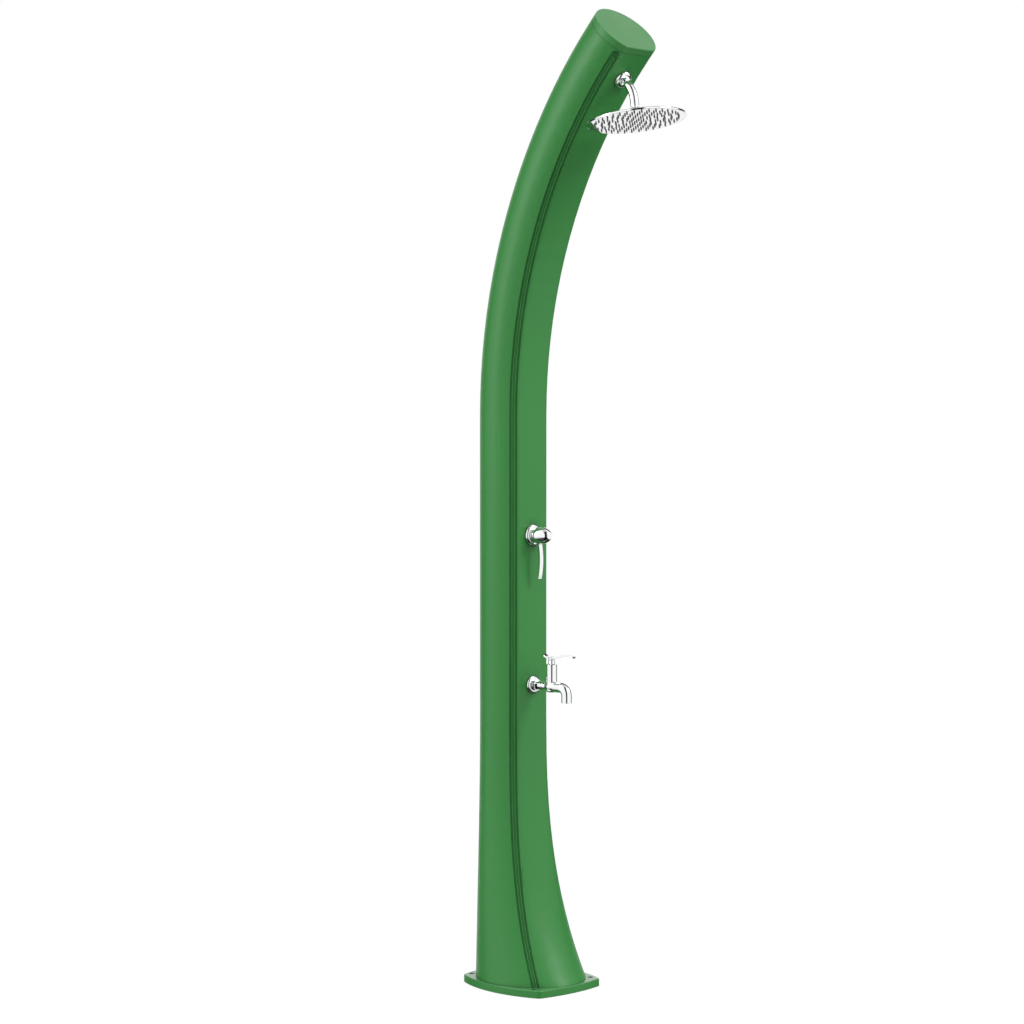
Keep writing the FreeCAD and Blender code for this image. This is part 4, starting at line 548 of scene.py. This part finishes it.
def cut_levels(shape, first, step):
    """Cuts a tall piece across near its foot and then at even heights, so that its painted shade can
    vary.
    """
    heights = [vertex.co.z for vertex in shape.verts]
    levels = [min(heights) + height for height in first]
    while levels[-1] + step < max(heights):
        levels.append(levels[-1] + step)
    for level in levels:
        bmesh.ops.bisect_plane(
            shape, geom=[*shape.verts, *shape.edges, *shape.faces], dist=JOIN_GAP,
            plane_co=(0, 0, level), plane_no=(0, 0, 1),
        )


def ray_directions():
    """Even directions over a sphere, on a golden spiral."""
    turn = math.pi * (3 - math.sqrt(5))
    for count in range(RECESS_RAYS):
        height = 1 - 2 * (count + 0.5) / RECESS_RAYS
        out = math.sqrt(1 - height * height)
        yield Vector((out * math.cos(turn * count), out * math.sin(turn * count), height))


def mark_recess(shape, nearby):
    """Stores at each vertex the share of its outlook that the moulding and rosettes block, which sets
    its painted shade.
    """
    painted_shade = shape.verts.layers.float.new("recess")
    rays = list(ray_directions())
    shape.normal_update()
    for vertex in shape.verts:
        start = vertex.co + vertex.normal * RECESS_START
        blocked = whole = 0.0
        for ray in rays:
            lean = ray.dot(vertex.normal)
            if lean > 0:
                whole += lean
                if nearby.ray_cast(start, ray, RECESS_REACH)[0]:
                    blocked += lean
        vertex[painted_shade] = blocked / whole if whole else 1.0


def moulded_outline():
    """Search tree over the moulded pieces and the rosettes that stand on them."""
    whole = bmesh.new()
    for node in (*dict(MOULDED), *ROSETTES):
        whole.from_mesh(NODES[node].data)
    tree = BVHTree.FromBMesh(whole)
    whole.free()
    return tree


def stand_in(node, shape):
    """Makes the shown piece from that mesh, in the CAD node's stead."""
    mesh = bpy.data.meshes.new(node + "_dressed")
    for face in shape.faces:
        face.smooth = True
    shape.to_mesh(mesh)
    shape.free()
    mesh.set_sharp_from_angle(angle=CREASE_ANGLE)
    mesh.materials.append(finish_of(node))
    piece = bpy.data.objects.new(node + "_dressed", mesh)
    bpy.context.scene.collection.objects.link(piece)
    piece.modifiers.new("even shading", "WEIGHTED_NORMAL").keep_sharp = True
    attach(piece, NODES[node]["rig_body"])
    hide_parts(node)


def dress_rounded(rows):
    """Makes shown pieces with edges rounded over the width that each row gives."""
    for node, width in rows:
        shape = joined(node)
        if width:
            smooth_flats(shape)
            round_edges(shape, width * MM)
        stand_in(node, shape)


# ---------------------------------------------------------------- operators


class DressPost(bpy.types.Operator):
    """Give the post, plate and cap their moulded plastic, with painted shade in the grooves and seams"""

    bl_idname = "shower_post.dress_post"
    bl_label = "Dress Post"

    def execute(self, context):
        nearby = moulded_outline()
        for node, width in MOULDED:
            shape = joined(node)
            smooth_flats(shape)
            round_edges(shape, width * MM)
            if node == "post_shell":
                cut_levels(shape, FOOT_LEVELS, LEVEL_STEP)
            mark_recess(shape, nearby)
            stand_in(node, shape)
        return {"FINISHED"}


class DressArmAndHead(bpy.types.Operator):
    """Give the shower arm and the rain head their rounded chrome"""

    bl_idname = "shower_post.dress_arm_and_head"
    bl_label = "Dress Arm and Head"

    def execute(self, context):
        dress_rounded((*ARM, *HEAD))
        return {"FINISHED"}


class DressMixer(bpy.types.Operator):
    """Give the lever mixer its rounded chrome"""

    bl_idname = "shower_post.dress_mixer"
    bl_label = "Dress Mixer"

    def execute(self, context):
        dress_rounded(MIXER)
        return {"FINISHED"}


class DressTap(bpy.types.Operator):
    """Give the foot tap its rounded chrome"""

    bl_idname = "shower_post.dress_tap"
    bl_label = "Dress Tap"

    def execute(self, context):
        dress_rounded(TAP)
        return {"FINISHED"}


class DressInside(bpy.types.Operator):
    """Give the inlet, the drain plug and the pieces inside the post their materials"""

    bl_idname = "shower_post.dress_inside"
    bl_label = "Dress Inside"

    def execute(self, context):
        dress_rounded(FOOT)
        for node in sorted(set(SLOTS) - set(dict(SHOWN))):
            mesh = NODES[node].data
            mesh.materials.clear()
            mesh.materials.append(finish_of(node))
        return {"FINISHED"}


class SetStage(bpy.types.Operator):
    """Add the pale floor, the soft light and the camera"""

    bl_idname = "shower_post.set_stage"
    bl_label = "Set Stage"

    def execute(self, context):
        values = context.scene.shower_stage
        make_floor(values.floor_half)
        make_world(values.light_above, values.light_below)
        add_lamp("front_lamp", FRONT_LAMP_PLACE, values.front_lamp)
        add_lamp("side_lamp", SIDE_LAMP_PLACE, values.side_lamp)
        make_camera()
        context.scene.view_settings.view_transform = "Standard"
        return {"FINISHED"}


# ---------------------------------------------------------------- stage

# the way the camera looks, and the level way to its right
VIEW_WAY = (0.6997, 0.7137, -0.0327)
ASIDE_WAY = (0.7141, -0.7000, 0.0)
CAMERA_PLACE = (-3.9501, -3.9717, 1.2081)
SENSOR_WIDTH = 36.0
LENS = 91.29

FRONT_LAMP_PLACE = (2.6, -4.7, 5.2)
SIDE_LAMP_PLACE = (-4.5, 2.4, 3.2)
LAMP_WIDTH = 2.0
LAMP_LENGTH = 3.0
LAMP_TARGET = (0.0, 0.0, 1.0)

# grey of the floor in plain light, its glow where it is seen, and the share of that glow
FLOOR_GREY = (0.5, 0.5, 0.5)
FLOOR_GLOW = 1.07
GLOW_SHARE = 0.88

# angle in degrees off the camera's direction, and how bright polished metal finds the room there
ROOM = ((0, 1.0), (32, 1.0), (40, 0.02), (66, 0.02), (74, 1.0))


def seen_directly(tree):
    """Two outputs: 1 for the camera's own rays, and 1 for rays off polished or through clear pieces."""
    rays = add_node(tree, "ShaderNodeLightPath")
    glossy = rays.outputs["Is Glossy Ray"]
    clear = rays.outputs["Is Transmission Ray"]
    return rays.outputs["Is Camera Ray"], calculate(tree, "MAXIMUM", glossy, clear)


def make_floor(half):
    """Level floor that glows pale where it is seen and takes the shadow in plain light."""
    mesh = bpy.data.meshes.new("floor")
    shape = bmesh.new()
    bmesh.ops.create_grid(shape, x_segments=1, y_segments=1, size=half)
    shape.to_mesh(mesh)
    shape.free()
    floor = bpy.data.objects.new("floor", mesh)
    bpy.context.scene.collection.objects.link(floor)
    floor.visible_glossy = False
    material, tree, shader = start_material(
        "pale_floor", FLOOR_GREY, Base_Color=(*FLOOR_GREY, 1), Roughness=0.8,
    )
    glow = add_node(tree, "ShaderNodeEmission", {"Strength": FLOOR_GLOW})
    camera, mirrored = seen_directly(tree)
    share = calculate(tree, "MULTIPLY", calculate(tree, "MAXIMUM", camera, mirrored), GLOW_SHARE)
    mixed = blend_shaders(tree, share, shader.outputs[0], glow.outputs[0])
    link(tree, mixed, tree.nodes["Material Output"].inputs["Surface"])
    mesh.materials.append(material)
    return floor


def cosine_off(tree, direction, way):
    """Cosine of the angle between a direction and a fixed way."""
    node = add_node(tree, "ShaderNodeVectorMath", operation="DOT_PRODUCT")
    link(tree, direction, node.inputs[0])
    node.inputs[1].default_value = way
    return node.outputs["Value"]


def mirrored_room(tree, direction, height):
    """What polished metal mirrors: a pale room with a dark ring, a dark strip behind and dark ground."""
    along = cosine_off(tree, direction, VIEW_WAY)
    half_turns = calculate(tree, "DIVIDE", calculate(tree, "ARCCOSINE", along), math.pi)
    room = add_node(tree, "ShaderNodeValToRGB")
    link(tree, half_turns, room.inputs[0])
    stops = room.color_ramp.elements
    ready = len(stops)
    for count, (degrees, level) in enumerate(ROOM):
        position = degrees / 180
        stop = stops[count] if count < ready else stops.new(position)
        stop.position = position
        stop.color = (level, level, level, 1)
    aside = calculate(tree, "ABSOLUTE", cosine_off(tree, direction, ASIDE_WAY))
    beside = spread(tree, aside, low=0.02, start=0.2, end=0.3)
    ahead = spread(tree, along, low=0.02, start=-0.4, end=-0.25)
    strip = calculate(tree, "MAXIMUM", beside, ahead)
    ground = spread(tree, height, low=0.05, start=-0.6, end=-0.3)
    mirror = add_node(tree, "ShaderNodeBackground")
    link(tree, room.outputs["Color"], mirror.inputs["Color"])
    link(tree, calculate(tree, "MULTIPLY", strip, ground), mirror.inputs["Strength"])
    return mirror.outputs[0]


def make_world(above, below):
    """Even light for plain surfaces, a room for polished metal to mirror, and white for the camera."""
    world = bpy.data.worlds.new("studio")
    bpy.context.scene.world = world
    world.use_nodes = True
    tree = world.node_tree
    tree.nodes.clear()
    direction = add_node(tree, "ShaderNodeTexCoord").outputs["Generated"]
    height = upward_share(tree, direction)
    even = add_node(tree, "ShaderNodeBackground")
    link(tree, spread(tree, height, below, above, start=-1.0, end=1.0), even.inputs["Strength"])
    white = add_node(tree, "ShaderNodeBackground", {"Color": (1, 1, 1, 1), "Strength": 1.0})
    camera, mirrored = seen_directly(tree)
    lit = blend_shaders(tree, mirrored, even.outputs[0], mirrored_room(tree, direction, height))
    seen = blend_shaders(tree, camera, lit, white.outputs[0])
    link(tree, seen, add_node(tree, "ShaderNodeOutputWorld").inputs["Surface"])


def add_lamp(name, place, power):
    """Large soft lamp that faces the middle of the post."""
    light = bpy.data.lights.new(name, "AREA")
    light.shape = "RECTANGLE"
    light.size = LAMP_WIDTH
    light.size_y = LAMP_LENGTH
    light.energy = power
    lamp = bpy.data.objects.new(name, light)
    bpy.context.scene.collection.objects.link(lamp)
    lamp.location = place
    lamp.rotation_euler = (Vector(LAMP_TARGET) - lamp.location).to_track_quat("-Z", "Y").to_euler()


def make_camera():
    """Camera at chest height, to the left front of the post."""
    data = bpy.data.cameras.new("camera")
    data.sensor_width = SENSOR_WIDTH
    data.lens = LENS
    camera = bpy.data.objects.new("camera", data)
    bpy.context.scene.collection.objects.link(camera)
    camera.location = CAMERA_PLACE
    camera.rotation_euler = Vector(VIEW_WAY).to_track_quat("-Z", "Y").to_euler()
    bpy.context.scene.camera = camera


# ---------------------------------------------------------------- panel and registration

OPERATORS = (DressPost, DressArmAndHead, DressMixer, DressTap, DressInside, SetStage)
SETTINGS = (
    ("shower_post", PostSettings),
    ("shower_fittings", FittingSettings),
    ("shower_stage", StageSettings),
)


class ShowerPostPanel(bpy.types.Panel):
    """Operators and settings of the shower post"""

    bl_idname = "VIEW3D_PT_shower_post"
    bl_label = "Shower Post"
    bl_space_type = "VIEW_3D"
    bl_region_type = "UI"
    bl_category = "Shower Post"

    def draw(self, context):
        column = self.layout.column(align=True)
        for operator in OPERATORS:
            column.operator(operator.bl_idname)
        for group in dict(SETTINGS):
            values = getattr(context.scene, group)
            box = self.layout.box()
            for name in values.bl_rna.properties.keys():
                if name not in ("rna_type", "name"):
                    box.prop(values, name)


def register():
    for name, group in SETTINGS:
        bpy.utils.register_class(group)
        setattr(bpy.types.Scene, name, bpy.props.PointerProperty(type=group))
    for item in (*OPERATORS, ShowerPostPanel):
        bpy.utils.register_class(item)


def unregister():
    for item in reversed((*OPERATORS, ShowerPostPanel)):
        bpy.utils.unregister_class(item)
    for name, group in reversed(SETTINGS):
        delattr(bpy.types.Scene, name)
        bpy.utils.unregister_class(group)


def main():
    register()
    bpy.ops.shower_post.dress_post()
    bpy.ops.shower_post.dress_arm_and_head()
    bpy.ops.shower_post.dress_mixer()
    bpy.ops.shower_post.dress_tap()
    bpy.ops.shower_post.dress_inside()
    bpy.ops.shower_post.set_stage()


if __name__ == "__main__":
    main()
